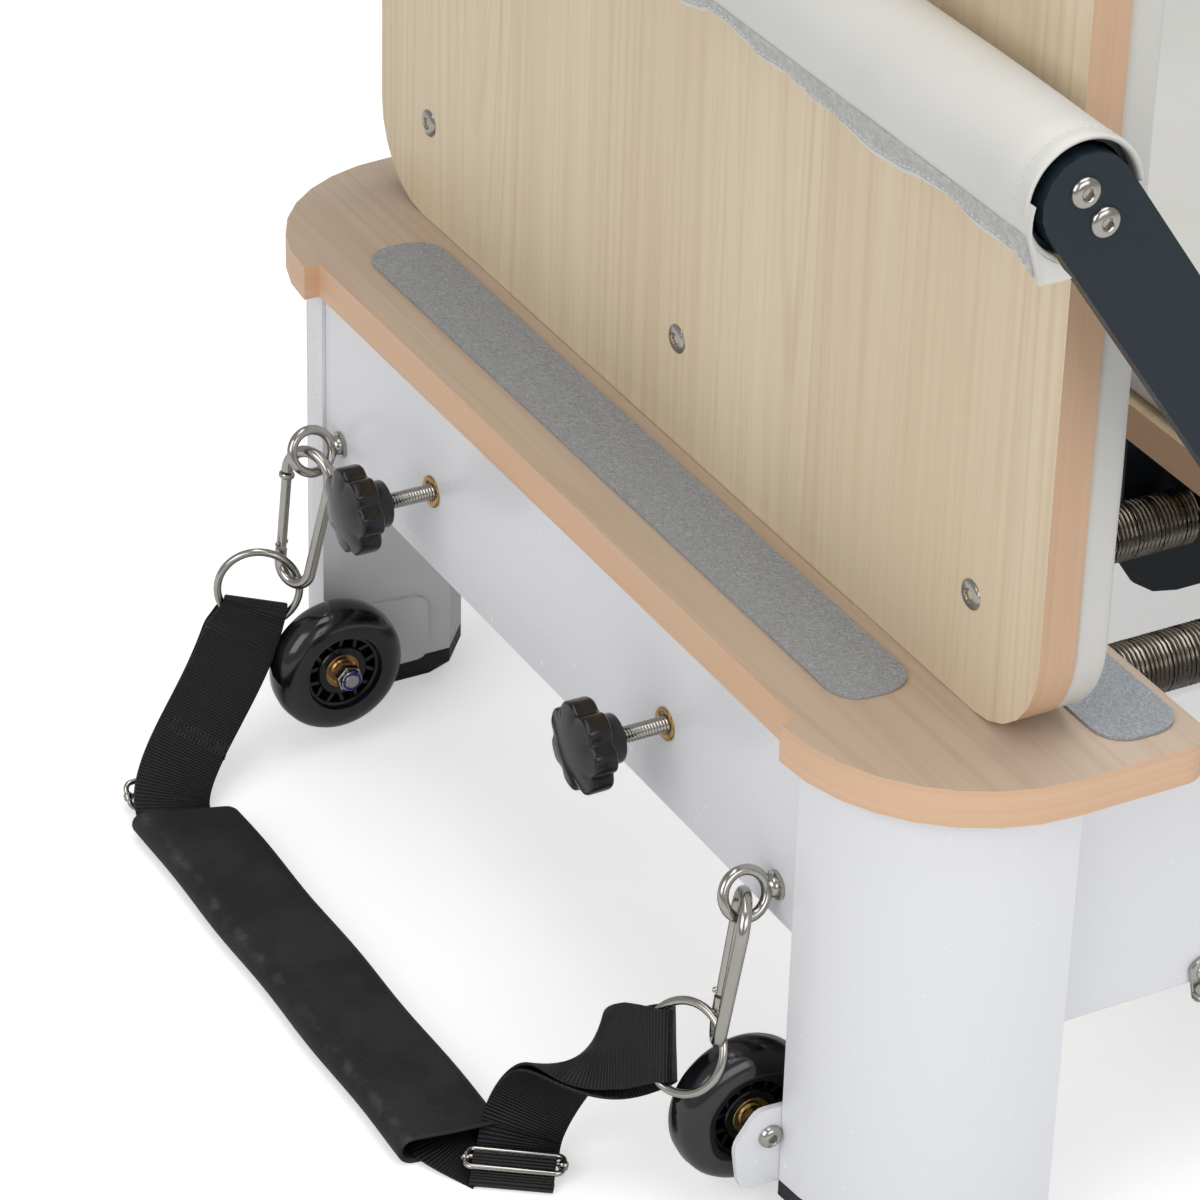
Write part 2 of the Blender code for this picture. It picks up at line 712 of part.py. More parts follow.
def star_outline():
    """Seven round lobes: the radius swells and dips with the angle."""
    outline = []
    steps = KNOB_LOBES * 6
    for k in range(steps):
        angle = 2 * math.pi * k / steps
        wave = abs(math.cos(KNOB_LOBES * angle / 2))
        radius = KNOB_RADIUS - LOBE_DEPTH * 2 * (1 - wave) ** 1.5
        outline.append((radius * math.cos(angle), radius * math.sin(angle)))
    return outline


def make_knobs():
    """Each knob turns in a clamp pad, and the pad travels with the stud's pitch."""
    front = KNOB_HUB_X - HUB_LENGTH
    face = front - KNOB_THICKNESS
    clamp_front = JUMP_FACE_X - GAP - CLAMP_DISC - CLAMP_HUB
    stud_end = clamp_front + STUD_REACH
    for side, tag in SIDES:
        centre = (0, side * KNOB_Y, KNOB_Z)
        clamp_body = body_empty(f"clamp_{tag}_slide", (JUMP_FACE_X, side * KNOB_Y, KNOB_Z))
        knob_body = body_empty(f"knob_{tag}_turn", (KNOB_HUB_X, side * KNOB_Y, KNOB_Z), clamp_body)
        core = KNOB_RADIUS * 0.68
        profile = [
            (stud_end, 0.0),
            (stud_end, STUD_RADIUS - 0.0008),
            (stud_end - 0.001, STUD_RADIUS),
            (KNOB_HUB_X, STUD_RADIUS),
            (KNOB_HUB_X, HUB_RADIUS),
            (front, HUB_RADIUS),
            (front + 0.0005, core),
            (face - 0.0003, core),
            (face - KNOB_DOME * 0.7, core * 0.6),
            (face - KNOB_DOME, 0.0),
        ]
        knob = turned(f"star_knob_{tag}", profile, centre, (1, 0, 0), 24)
        star = plate(f"star {tag}", star_outline(), (face, front), "x")
        star.location = ((face + front) / 2, side * KNOB_Y, KNOB_Z)
        combine(knob, [to_mesh(star)], "UNION", knob_body)
        piece(knob, "black plastic", knob_body)

        bore = STUD_RADIUS + STUD_CLEARANCE
        floor = stud_end + GAP
        back = JUMP_FACE_X - GAP
        profile = [
            (back, 0.0),
            (back, CLAMP_DISC_RADIUS),
            (back - CLAMP_DISC, CLAMP_DISC_RADIUS),
            (back - CLAMP_DISC, CLAMP_HUB_RADIUS),
            (clamp_front, CLAMP_HUB_RADIUS),
            (clamp_front, bore),
            (floor, bore),
            (floor, 0.0),
        ]
        piece(turned(f"clamp_pad_{tag}", profile, centre, (1, 0, 0), 20), "black plastic", clamp_body)


def make_wheels():
    half = WHEEL_WIDTH / 2
    rim = WHEEL_RADIUS - TREAD_WALL
    web = WEB_THICKNESS / 2
    for side, tag in SIDES:
        middle = side * WHEEL_MID_Y
        body = body_empty(f"wheel_{tag}_spin", (WHEEL_X, middle, WHEEL_Z))
        profile = [
            (half, WHEEL_BORE),
            (half, WHEEL_HUB_RADIUS),
            (web, WHEEL_HUB_RADIUS),
            (web, rim - 0.003),
            (half * 0.8, rim),
            (half * 0.9, WHEEL_RADIUS - 0.005),
            (half * 0.5, WHEEL_RADIUS - 0.001),
            (0, WHEEL_RADIUS),
            (-half * 0.5, WHEEL_RADIUS - 0.001),
            (-half * 0.9, WHEEL_RADIUS - 0.005),
            (-half * 0.8, rim),
            (-web, rim - 0.003),
            (-web, WHEEL_HUB_RADIUS),
            (-half, WHEEL_HUB_RADIUS),
            (-half, WHEEL_BORE),
        ]
        wheel = turned(f"transport_wheel_{tag}", profile, (WHEEL_X, middle, WHEEL_Z), (0, 1, 0),
                       24, closed=True)
        combine(wheel, [wheel_windows(tag, middle, rim)], "DIFFERENCE", body)
        piece(wheel, "black rubber", body)
        make_wheel_bracket(side, tag)


def wheel_windows(tag, middle, rim):
    """Openings between the spokes, drawn as one set of sector holes."""
    curve_rings = []
    share = 360 / SPOKES
    for k in range(SPOKES):
        start = k * share + share * 0.20
        end = (k + 1) * share - share * 0.20
        inner = arc((0, 0), WHEEL_HUB_RADIUS + 0.0018, end, start, 3)
        outer = arc((0, 0), rim - 0.0045, start, end, 4)
        curve_rings.append(outer + inner)
    windows = plate(f"windows {tag}", curve_rings[0], (-WEB_THICKNESS, WEB_THICKNESS), "y",
                    curve_rings[1:])
    windows.location = (WHEEL_X, middle, WHEEL_Z)
    return to_mesh(windows)


def make_wheel_bracket(side, tag):
    """Plate on the leg's inner face that reaches forward to the wheel, and the axle bolt."""
    outer = LEG_INNER - GAP
    inner = outer - BRACKET_THICKNESS
    corners = [
        (0.060, 0.056, 0.006),
        (-0.010, 0.060, 0.008),
        (-0.0215, 0.044, 0.012),
        (-0.018, 0.0185, 0.008),
        (0.060, 0.0195, 0.006),
    ]
    span = limits(side * inner, side * outer)
    hole = circle(WHEEL_X, WHEEL_Z, AXLE_RADIUS + GAP)
    bracket = plate(f"wheel_bracket_{tag}", rounded(corners, 3), span, "y", [hole])
    piece(bracket, "white paint")
    half = WHEEL_WIDTH / 2
    hub_inner = WHEEL_MID_Y - half
    head = LEG_INNER + 0.0003
    collar = inner - GAP
    profile = [
        (head, 0.0),
        (head, AXLE_RADIUS),
        (collar, AXLE_RADIUS),
        (collar, AXLE_NUT_RADIUS),
        (WHEEL_MID_Y + half + GAP, AXLE_NUT_RADIUS),
        (WHEEL_MID_Y + half + GAP, AXLE_RADIUS),
        (hub_inner - GAP, AXLE_RADIUS),
        (hub_inner - GAP, AXLE_NUT_RADIUS),
        (AXLE_INNER_Y, AXLE_NUT_RADIUS),
        (AXLE_INNER_Y, 0.0),
    ]
    axle = turned(f"wheel_axle_{tag}", profile, (WHEEL_X, 0, WHEEL_Z), (0, side, 0), 18)
    piece(axle, "zinc steel")


def make_foot_bar(body):
    end = ARM_INNER - GAP
    pivot = (PIVOT_X, 0, PIVOT_Z)
    bore = BAR_TUBE_RADIUS - BAR_TUBE_WALL
    profile = [(end, bore), (end, BAR_TUBE_RADIUS), (-end, BAR_TUBE_RADIUS), (-end, bore)]
    tube = turned("foot_bar_tube", profile, (BAR_X, 0, BAR_Z), (0, 1, 0), 24, closed=True)
    piece(tube, "dark steel", body)
    inner = BAR_TUBE_RADIUS + GAP
    edge = BAR_PAD_EDGE
    profile = [
        (end, inner),
        (end, BAR_PAD_RADIUS - edge),
        (end - edge, BAR_PAD_RADIUS - edge / 4),
        (end - 0.020, BAR_PAD_RADIUS),
        (-end + 0.020, BAR_PAD_RADIUS),
        (-end + edge, BAR_PAD_RADIUS - edge / 4),
        (-end, BAR_PAD_RADIUS - edge),
        (-end, inner),
    ]
    pad = turned("foot_bar_pad", profile, (BAR_X, 0, BAR_Z), (0, 1, 0), 24, closed=True)
    piece(pad, "white upholstery", body)
    down = math.degrees(ARM_SLOPE)
    radius = ARM_WIDTH / 2
    outline = arc((BAR_X, BAR_Z), radius, 90 - down, 270 - down, 8)
    outline += arc((PIVOT_X, PIVOT_Z), radius, 270 - down, 450 - down, 8)
    hole = circle(PIVOT_X, PIVOT_Z, PIVOT_PIN_RADIUS + GAP, 20)
    outer = ARM_INNER + ARM_THICKNESS
    for side, tag in SIDES:
        span = limits(side * ARM_INNER, side * outer)
        arm = plate(f"foot_bar_arm_{tag}", outline, span, "y", [hole])
        piece(arm, "dark steel", body)
        cap = outer + GAP
        profile = [
            (cap + PIVOT_CAP, 0.0),
            (cap + PIVOT_CAP, PIVOT_CAP_RADIUS - 0.002),
            (cap + PIVOT_CAP - 0.002, PIVOT_CAP_RADIUS),
            (cap, PIVOT_CAP_RADIUS),
            (cap, PIVOT_PIN_RADIUS),
            (ARM_INNER - GAP, PIVOT_PIN_RADIUS),
            (ARM_INNER - GAP, PIVOT_BARREL_RADIUS),
            (RAIL_OUTER + PIVOT_FLANGE, PIVOT_BARREL_RADIUS),
            (RAIL_OUTER + PIVOT_FLANGE, PIVOT_FLANGE_RADIUS),
            (RAIL_OUTER + GAP, PIVOT_FLANGE_RADIUS),
            (RAIL_OUTER + GAP, 0.0),
        ]
        mount = turned(f"foot_bar_pivot_{tag}", profile, pivot, (0, side, 0), 20)
        piece(mount, "dark steel")


def make_carriage(body, headrest_body):
    outline = rectangle(CARRIAGE_X, (-CARRIAGE_HALF, CARRIAGE_HALF), CARRIAGE_CORNER, steps=4)
    board = plate("carriage_board", outline, (CARRIAGE_BOTTOM, CARRIAGE_TOP), "z")
    piece(board, "oak board", body)
    pad = cushion("carriage_pad", CARRIAGE_PAD_X, (-CARRIAGE_HALF, CARRIAGE_HALF), CARRIAGE_CORNER,
                  CARRIAGE_TOP + GAP, CARRIAGE_PAD, "z", 0.004)
    piece(pad, "white upholstery", body)
    make_carriage_frame(body)
    for side, tag in SIDES:
        rest = cushion(f"shoulder_rest_{tag}", limits(side * SHOULDER_Y[0], side * SHOULDER_Y[1]),
                       (CARRIAGE_TOP + GAP, CARRIAGE_TOP + SHOULDER_HEIGHT), 0.022,
                       SHOULDER_X, SHOULDER_THICKNESS, "x", 0.003, 4)
        piece(rest, "white upholstery", body)
    start = CARRIAGE_X[1] + HEADREST_GAP
    headrest = cushion("headrest", (start, start + HEADREST_LENGTH), (-HEADREST_HALF, HEADREST_HALF),
                       0.030, CARRIAGE_BOTTOM, BOARD + CARRIAGE_PAD, "z", 0.005)
    piece(headrest, "white upholstery", headrest_body)


def make_carriage_frame(body):
    """Two long plates under the board, hook bars for the springs, and arms with rollers."""
    top = CARRIAGE_BOTTOM - GAP
    bottom = top - PLATE_DROP
    corners = [
        (PLATE_X[0], top, 0.0),
        (PLATE_X[0], bottom, 0.036),
        (PLATE_X[1], bottom, 0.036),
        (PLATE_X[1], top, 0.0),
    ]
    outline = rounded(corners, 4)
    plates = []
    for side in (1, -1):
        span = (side * PLATE_Y - PLATE_THICKNESS / 2, side * PLATE_Y + PLATE_THICKNESS / 2)
        plates.append(to_mesh(plate(f"plate {side}", outline, span, "y")))
    hook_z = (SPRING_Z - HOOK_BAR / 2, SPRING_Z + HOOK_BAR / 2)
    shapes = [
        box("inner hook bar", (INNER_HOOK_X, INNER_HOOK_X + HOOK_BAR),
            (-INNER_HOOK_HALF, INNER_HOOK_HALF), hook_z),
        box("outer hook bar", (OUTER_HOOK_X, OUTER_HOOK_X + HOOK_BAR),
            (-OUTER_HOOK_HALF, OUTER_HOOK_HALF), hook_z),
    ]
    roller_z = PLATFORM_BOTTOM + ROLLER_RADIUS
    arm_z = (top - ROLLER_ARM_THICKNESS, top)
    shapes.append(box("headrest support", HEADREST_SUPPORT,
                      (-HEADREST_SUPPORT_HALF, HEADREST_SUPPORT_HALF), arm_z))
    for k, x in enumerate(ROLLER_X):
        reach = ROLLER_Y + ROLLER_WIDTH / 2
        shapes.append(box(f"roller arm {k}", (x - ROLLER_ARM / 2, x + ROLLER_ARM / 2),
                          (-reach, reach), arm_z))
        for side, tag in SIDES:
            y = limits(side * (ROLLER_Y - ROLLER_WIDTH / 2), side * reach)
            inset = (y[0] + 0.0005, y[1] - 0.0005)
            shapes.append(barrel(f"roller {k} {tag}", (x, 0, roller_z), inset, ROLLER_RADIUS, 20))
    frame = plates[0]
    frame.name = "carriage_frame"
    combine(frame, [plates[1], *shapes], "UNION", body)
    piece(frame, "dark steel", body)


def spring_path(start, end, y, curls):
    """Straight end, half a turn out to the coil, the curls, and the same back to the axis."""
    radius = SPRING_RADIUS - SPRING_WIRE / 2
    lead = CURL_POINTS // 2
    straight = SPRING_WIRE
    count = curls * CURL_POINTS + 2 * lead
    length = end - start - 2 * straight
    points = [(start, y, SPRING_Z)]
    for k in range(count + 1):
        grow = min(k / lead, (count - k) / lead, 1.0)
        angle = 2 * math.pi * k / CURL_POINTS
        x = start + straight + length * k / count
        points.append((x, y + radius * grow * math.sin(angle), SPRING_Z + radius * grow * math.cos(angle)))
    points.append((end, y, SPRING_Z))
    return points


def least_gap(points, thickness, skip):
    """Smallest clear distance between stretches of the wire that are `skip` points apart."""
    least = math.inf
    for i, first in enumerate(points):
        for second in points[i + skip:]:
            least = min(least, math.dist(first, second) - thickness)
    return least


def make_springs():
    bar_x = (ANCHOR_X, ANCHOR_X + HOOK_BAR)
    half = RAIL_INNER - GAP
    bar_z = (SPRING_Z - HOOK_BAR / 2, SPRING_Z + HOOK_BAR / 2)
    piece(box("spring_anchor_bar", bar_x, (-half, half), bar_z, 0.001), "dark steel")
    for number in range(5):
        y = (2 - number) * SPRING_SPACING
        outer = number in (0, 4)
        hook = OUTER_HOOK_X if outer else INNER_HOOK_X
        curls = OUTER_CURLS if outer else INNER_CURLS
        points = spring_path(bar_x[1] + GAP, hook - GAP, y, curls)
        gap = least_gap(points, SPRING_WIRE, CURL_POINTS // 2 + 1)
        print(f"spring_{number + 1}: {curls} curls, least gap to itself {gap * 1000:.2f} mm")
        piece(wire(f"spring_{number + 1}", points, SPRING_WIRE / 2, resolution=1), "bright steel")


def carabiner_points(top, side_axis, down):
    """Pear outline: a wide bend at the top, a narrow bend below, straight flanks."""
    wide_centre = top + down * CARABINER_WIDE
    length = CARABINER_LENGTH - 2 * CARABINER_WIRE - CARABINER_WIDE - CARABINER_NARROW
    narrow_centre = wide_centre + down * length
    points = []
    for u, v in arc((0, 0), CARABINER_WIDE, 180, 0, 8):
        points.append(wide_centre + side_axis * u - down * v)
    for u, v in arc((0, 0), CARABINER_NARROW, 0, -180, 8):
        points.append(narrow_centre + side_axis * u - down * v)
    return points, narrow_centre + down * CARABINER_NARROW


def ring_points(centre, first, second, radius, steps):
    points = []
    for u, v in arc((0, 0), radius, 0, 360 - 360 / steps, steps - 1):
        points.append(centre + first * u + second * v)
    return points


def eye_plane():
    """Second direction of an eye's plane; the first is the shank's own direction."""
    return Vector((0, math.sin(EYE_TWIST), math.cos(EYE_TWIST)))


def make_eyebolts():
    for side, tag in SIDES:
        centre = Vector((EYE_X, side * EYE_Y, EYE_Z))
        points = ring_points(centre, Vector((1, 0, 0)), eye_plane(), EYE_RADIUS, 16)
        eye = to_mesh(wire(f"eyebolt_{tag}", points, EYE_WIRE, closed=True))
        face = BEAM_FACE_X - GAP
        profile = [
            (face, 0.0),
            (face, EYE_COLLAR_RADIUS),
            (face - 0.0035, EYE_COLLAR_RADIUS),
            (face - 0.0045, EYE_WIRE + 0.0005),
            (EYE_X + EYE_RADIUS, EYE_WIRE + 0.0005),
            (EYE_X + EYE_RADIUS, 0.0),
        ]
        shank = turned(f"eye shank {tag}", profile, (0, side * EYE_Y, EYE_Z), (1, 0, 0), 12)
        combine(eye, [shank], "UNION")
        piece(eye, "bright steel")


def hanging(side, tag):
    """Carabiner outline, and the strap ring's centre with the two directions of its plane."""
    down = Vector((-math.sin(CARABINER_LEAN), 0, -math.cos(CARABINER_LEAN)))
    across = Vector((math.cos(CARABINER_TURN[tag]), math.sin(CARABINER_TURN[tag]), 0))
    across = (across - down * across.dot(down)).normalized()
    top = Vector((EYE_X, side * EYE_Y, EYE_Z)) - eye_plane() * CARABINER_SEAT
    points, bottom = carabiner_points(top, across, down)
    spread = Vector(RING_SPREAD[tag]).normalized()
    pull = Vector(RING_PULL[tag])
    pull = (pull - spread * pull.dot(spread)).normalized()
    to_centre = pull * math.cos(RING_HANG[tag]) + spread * math.sin(RING_HANG[tag])
    centre = bottom + to_centre * (RING_RADIUS - CARABINER_WIRE)
    return points, centre, spread, pull


def make_foot_strap(body):
    """Carabiners with rings hang from the eyebolts; the webbing runs through the sleeve."""
    for side, tag in SIDES:
        points, centre, spread, pull = hanging(side, tag)
        carabiner = to_mesh(wire(f"carabiner_{tag}", points, CARABINER_WIRE, closed=True))
        ring = wire(f"strap ring {tag}", ring_points(centre, pull, spread, RING_RADIUS, 24),
                    RING_WIRE, closed=True)
        combine(carabiner, [to_mesh(ring)], "UNION", body)
        piece(carabiner, "bright steel", body)
    make_webbing(body)
    make_sleeve(body)


def bezier(start, first, second, end, t):
    s = 1 - t
    return start * s ** 3 + first * 3 * s * s * t + second * 3 * s * t * t + end * t ** 3


def strap_stations(side, tag):
    """Middle line of one hanging strap, ring first, each with its width and face directions."""
    _, centre, spread, pull = hanging(side, tag)
    inside = RING_RADIUS - RING_WIRE - GAP
    roll = FOLD_ROLL[tag]
    spread, pull = (spread * math.cos(roll) + pull * math.sin(roll),
                    pull * math.cos(roll) - spread * math.sin(roll))
    fold = centre + pull * (math.sqrt(inside ** 2 - (FOLD_WIDTH / 2 + GAP) ** 2) + LOOP_GAP)
    mouth_y = SLEEVE_Y[1] if side > 0 else SLEEVE_Y[0]
    mouth = Vector((SLEEVE_X, mouth_y + side * 0.004, WEBBING_FLOOR_Z))
    drop = Vector(STRAP_DROP[tag])
    drop = (drop - spread * drop.dot(spread)).normalized()
    first = fold + drop * STRAP_REACH_UP
    second = mouth + Vector((0, side, 0)) * STRAP_REACH_IN
    stations = []
    for k in range(STRAP_STATIONS + 1):
        t = k / STRAP_STATIONS
        place = bezier(fold, first, second, mouth, t)
        ahead = bezier(fold, first, second, mouth, t + 0.01) - bezier(fold, first, second, mouth, t - 0.01)
        ahead.normalize()
        turn = t * t * (3 - 2 * t)
        across = spread * (1 - turn) + Vector((1, 0, 0)) * turn * math.copysign(1, spread.x)
        across = (across - ahead * across.dot(ahead)).normalized()
        stations.append((place, across, ahead.cross(across)))
    return stations


def loop_offset(distance, widest):
    """How far a layer stands off the middle line: round the ring first, closing further down."""
    least = (WEBBING_THICKNESS + LAYER_GAP) / 2
    start = LOOP_GAP + WEBBING_THICKNESS / 2
    share = min(distance / LOOP_LENGTH, 1.0)
    rise = math.sin(math.pi / 2 * min(distance / LOOP_RISE, 1.0))
    closing = min(max((distance - LOOP_HOLD) / (LOOP_LENGTH - LOOP_HOLD), 0.0), 1.0)
    fall = math.cos(math.pi / 2 * closing) ** 2
    return least + (start - least) * (1 - share) ** 2 + max(widest - start, 0.0) * rise * fall


def strap_side(side, tag):
    """Both layers of one hanging strap: up the back layer, over the ring, down the front one."""
    stations = strap_stations(side, tag)
    distances = [0.0]
    for (a, _, _), (b, _, _) in zip(stations, stations[1:]):
        distances.append(distances[-1] + (b - a).length)
    back = []
    front = []
    for (place, across, face), distance in zip(stations, distances):
        width = FOLD_WIDTH + (WEBBING_WIDTH - FOLD_WIDTH) * min(distance / FOLD_TAPER, 1.0)
        back.append((place - face * loop_offset(distance, LOOP_SPREAD[tag]), across, width))
        front.append((place + face * loop_offset(distance, 0.0), across, width))
    place, across, face = stations[0]
    ahead = (stations[1][0] - place).normalized()
    radius = LOOP_GAP + WEBBING_THICKNESS / 2
    fold = []
    for angle in (-90, -60, -30, 0, 30, 60, 90):
        turn = math.radians(angle)
        way = face * math.sin(turn) - ahead * math.cos(turn)
        fold.append((place + way * radius, across, FOLD_WIDTH))
    cut = STRAP_STATIONS - 2
    return list(reversed(back[1:cut])) + fold + front[1:]


def make_webbing(body):
    """One long band: a loop round each ring, and the flat length inside the sleeve between."""
    left = strap_side(1, "left")
    right = strap_side(-1, "right")
    inside = []
    for y in (SLEEVE_Y[1] - 0.010, SLEEVE_Y[0] + 0.010):
        inside.append((Vector((SLEEVE_X, y, WEBBING_FLOOR_Z)), Vector((1, 0, 0)), WEBBING_WIDTH))
    route = left + inside + list(reversed(right))
    rings = []
    for i, (place, across, width) in enumerate(route):
        if i and across.dot(route[i - 1][1]) < 0:
            across = -across
            route[i] = (place, across, width)
        ahead = route[min(i + 1, len(route) - 1)][0] - route[max(i - 1, 0)][0]
        across = (across - ahead * across.dot(ahead) / ahead.length_squared).normalized()
        normal = ahead.normalized().cross(across)
        ring = []
        for u, v in ((-1, -1), (1, -1), (1, 1), (-1, 1)):
            ring.append(place + across * u * width / 2 + normal * v * WEBBING_THICKNESS / 2)
        rings.append(ring)
    piece(loft("strap_webbing", rings), "black webbing", body)


def flat_oval(width, height, steps=6):
    radius = height / 2
    flat = width / 2 - radius
    outline = arc((flat, 0), radius, -90, 90, steps)
    return outline + arc((-flat, 0), radius, 90, 270, steps)


def make_sleeve(body):
    outer = flat_oval(SLEEVE_WIDTH, SLEEVE_HEIGHT)
    inner = flat_oval(SLEEVE_WIDTH - 2 * SLEEVE_WALL, SLEEVE_HEIGHT - 2 * SLEEVE_WALL)
    sleeve = plate("strap_sleeve", outer, SLEEVE_Y, "y", [inner])
    middle = (SLEEVE_Y[0] + SLEEVE_Y[1]) / 2
    sleeve.location = (SLEEVE_X, middle, SLEEVE_Z)
    sleeve = to_mesh(sleeve)
    for vertex in sleeve.data.vertices:
        place = sleeve.matrix_world @ vertex.co
        slant = SLEEVE_SLANT["left" if place.y > middle else "right"]
        place.y += (place.x - SLEEVE_X) * slant
        vertex.co = sleeve.matrix_world.inverted() @ place
    piece(sleeve, "black rubber", body)


def make_posts(body):
    """Riser posts at the head end, each with its rope pulley near the top."""
    x = from_head(POST_FROM_END)
    base = PLATFORM_TOP + GAP
    for side, tag in SIDES:
        profile = [
            (base + POST_HEIGHT, 0.0),
            (base + POST_HEIGHT, POST_RADIUS - 0.003),
            (base + POST_HEIGHT - 0.003, POST_RADIUS),
            (base + POST_FLANGE, POST_RADIUS),
            (base + POST_FLANGE, POST_FLANGE_RADIUS),
            (base, POST_FLANGE_RADIUS),
            (base, 0.0),
        ]
        post = turned(f"pulley_post_{tag}", profile, (x, side * POST_Y, 0), (0, 0, 1), 20)
        wheel_x = x - POST_RADIUS - PULLEY_RADIUS + 0.004
        height = base + POST_HEIGHT - 0.040
        half = PULLEY_WIDTH / 2
        groove = [
            (half, 0.0),
            (half, PULLEY_RADIUS),
            (0.0, PULLEY_RADIUS - 0.005),
            (-half, PULLEY_RADIUS),
            (-half, 0.0),
        ]
        pulley = turned(f"pulley {tag}", groove, (wheel_x, side * POST_Y, height), (0, 1, 0), 20)
        bracket = box(f"pulley bracket {tag}", (wheel_x - 0.010, x), limits(side * POST_Y - 0.003,
                      side * POST_Y + 0.003), (height - 0.012, height + 0.012))
        combine(post, [pulley, bracket], "UNION", body)
        piece(post, "dark steel", body)


def main():
    head_body = body_empty("fold_hinge", (FOLD_X, 0, FOLD_Z))
    carriage_body = body_empty("carriage_slide", (CARRIAGE_X[0], 0, CARRIAGE_BOTTOM))
    headrest_pivot = (CARRIAGE_X[1] + HEADREST_GAP, 0, CARRIAGE_BOTTOM)
    headrest_body = body_empty("headrest_tilt", headrest_pivot, carriage_body)
    jump_body = body_empty("jump_board_lift", (JUMP_FACE_X, 0, PLATFORM_TOP))
    bar_body = body_empty("foot_bar_swing", (PIVOT_X, 0, PIVOT_Z))
    strap_body = body_empty("foot_strap_swing", (EYE_X, 0, EYE_Z))
    make_platforms(head_body)
    make_legs("foot", False)
    make_legs("head", True, head_body)
    make_frame_half("foot", False)
    make_frame_half("head", True, head_body)
    make_fold_hinges(head_body)
    make_jump_board(jump_body)
    make_knobs()
    make_wheels()
    make_foot_bar(bar_body)
    make_carriage(carriage_body, headrest_body)
    make_springs()
    make_eyebolts()
    make_foot_strap(strap_body)
    make_posts(head_body)


main()
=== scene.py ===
# %% [markdown]
# # Folding pilates reformer
# A timber frame in two halves carries a sprung carriage. The photograph looks down on the
# foot end: the foot platform, the upright jump board in its slot, the padded foot bar, two
# star knobs, two transport wheels and the foot strap that hangs from two eyebolts. The rigid
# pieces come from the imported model. This script gives each one its finish, and makes the soft
# goods, the close-wound springs and the small hardware again in full detail.

import json
import math

import bmesh
import bpy
from mathutils import Matrix, Vector

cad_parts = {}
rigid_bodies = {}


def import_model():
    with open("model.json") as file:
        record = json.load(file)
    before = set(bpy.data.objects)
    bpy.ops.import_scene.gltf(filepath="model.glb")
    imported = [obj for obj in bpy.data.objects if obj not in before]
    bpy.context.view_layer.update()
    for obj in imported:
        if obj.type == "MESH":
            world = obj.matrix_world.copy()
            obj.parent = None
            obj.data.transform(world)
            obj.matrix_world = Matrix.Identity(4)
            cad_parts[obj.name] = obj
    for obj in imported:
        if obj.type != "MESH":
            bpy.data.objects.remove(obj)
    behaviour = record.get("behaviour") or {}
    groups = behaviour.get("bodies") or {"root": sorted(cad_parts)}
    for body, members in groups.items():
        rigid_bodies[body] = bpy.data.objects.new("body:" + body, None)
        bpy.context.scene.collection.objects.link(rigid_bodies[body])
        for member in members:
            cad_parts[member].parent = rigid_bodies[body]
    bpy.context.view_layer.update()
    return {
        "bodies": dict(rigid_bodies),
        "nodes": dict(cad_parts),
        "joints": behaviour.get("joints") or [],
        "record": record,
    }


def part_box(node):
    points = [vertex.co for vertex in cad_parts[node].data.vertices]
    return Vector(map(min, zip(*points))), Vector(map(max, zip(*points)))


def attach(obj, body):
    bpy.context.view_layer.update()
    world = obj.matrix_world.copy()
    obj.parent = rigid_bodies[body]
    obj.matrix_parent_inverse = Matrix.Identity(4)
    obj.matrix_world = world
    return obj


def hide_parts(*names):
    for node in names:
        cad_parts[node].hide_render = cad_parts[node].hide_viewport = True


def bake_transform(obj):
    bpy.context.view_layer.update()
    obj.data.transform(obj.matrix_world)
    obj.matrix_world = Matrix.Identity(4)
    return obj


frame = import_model()
NODES = frame["nodes"]
print("nodes in the frame:", len(NODES))

# %% [markdown]
# ## Where things are
# The reformer was drawn from the recessed front edge of the foot platform: x runs from there
# to the head end, y to the left and z up from the floor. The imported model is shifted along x,
# so one helper turns drawing places into places in the frame. The platform's corners stand
# 8 mm in front of that edge, which ties the two together.

# %% Drawing frame
LIP = 0.008
EDGE_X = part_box("foot_platform")[0].x + LIP
TOP_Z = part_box("foot_platform")[1].z


def spot(x, y, z):
    """Place in the frame of a point given in the drawing's metres."""
    return Vector((x + EDGE_X, y, z))


print("front edge of the platform at x =", round(EDGE_X, 4), "top at z =", round(TOP_Z, 4))

# %% [markdown]
# ## Camera
# The photograph was taken with a long lens from the foot end's right, about 31 degrees above
# the horizon and turned a little about its own axis. The camera's place and its three
# directions are written down once and put straight into its matrix, which leaves nothing to
# aim or track.

# %% Camera
CAMERA_AT = spot(-0.9111, -1.6880, 1.3492)
CAMERA_RIGHT = Vector((0.8727, -0.4882, 0.0)).normalized()
CAMERA_UP = Vector((0.2519, 0.4503, 0.8569)).normalized()
CAMERA_ROLL = math.radians(1.594)
CAMERA_LENS = 146.24


def make_camera():
    data = bpy.data.cameras.new("photo camera")
    data.lens = CAMERA_LENS
    data.sensor_width = 36
    data.sensor_fit = "HORIZONTAL"
    data.clip_end = 50
    camera = bpy.data.objects.new("photo camera", data)
    right = CAMERA_RIGHT * math.cos(CAMERA_ROLL) + CAMERA_UP * math.sin(CAMERA_ROLL)
    up = CAMERA_UP * math.cos(CAMERA_ROLL) - CAMERA_RIGHT * math.sin(CAMERA_ROLL)
    back = right.cross(up)
    turn = Matrix((right, up, back)).transposed().to_4x4()
    camera.matrix_world = Matrix.Translation(CAMERA_AT) @ turn
    bpy.context.scene.collection.objects.link(camera)
    bpy.context.scene.camera = camera


make_camera()
print("camera at", tuple(round(v, 3) for v in CAMERA_AT))

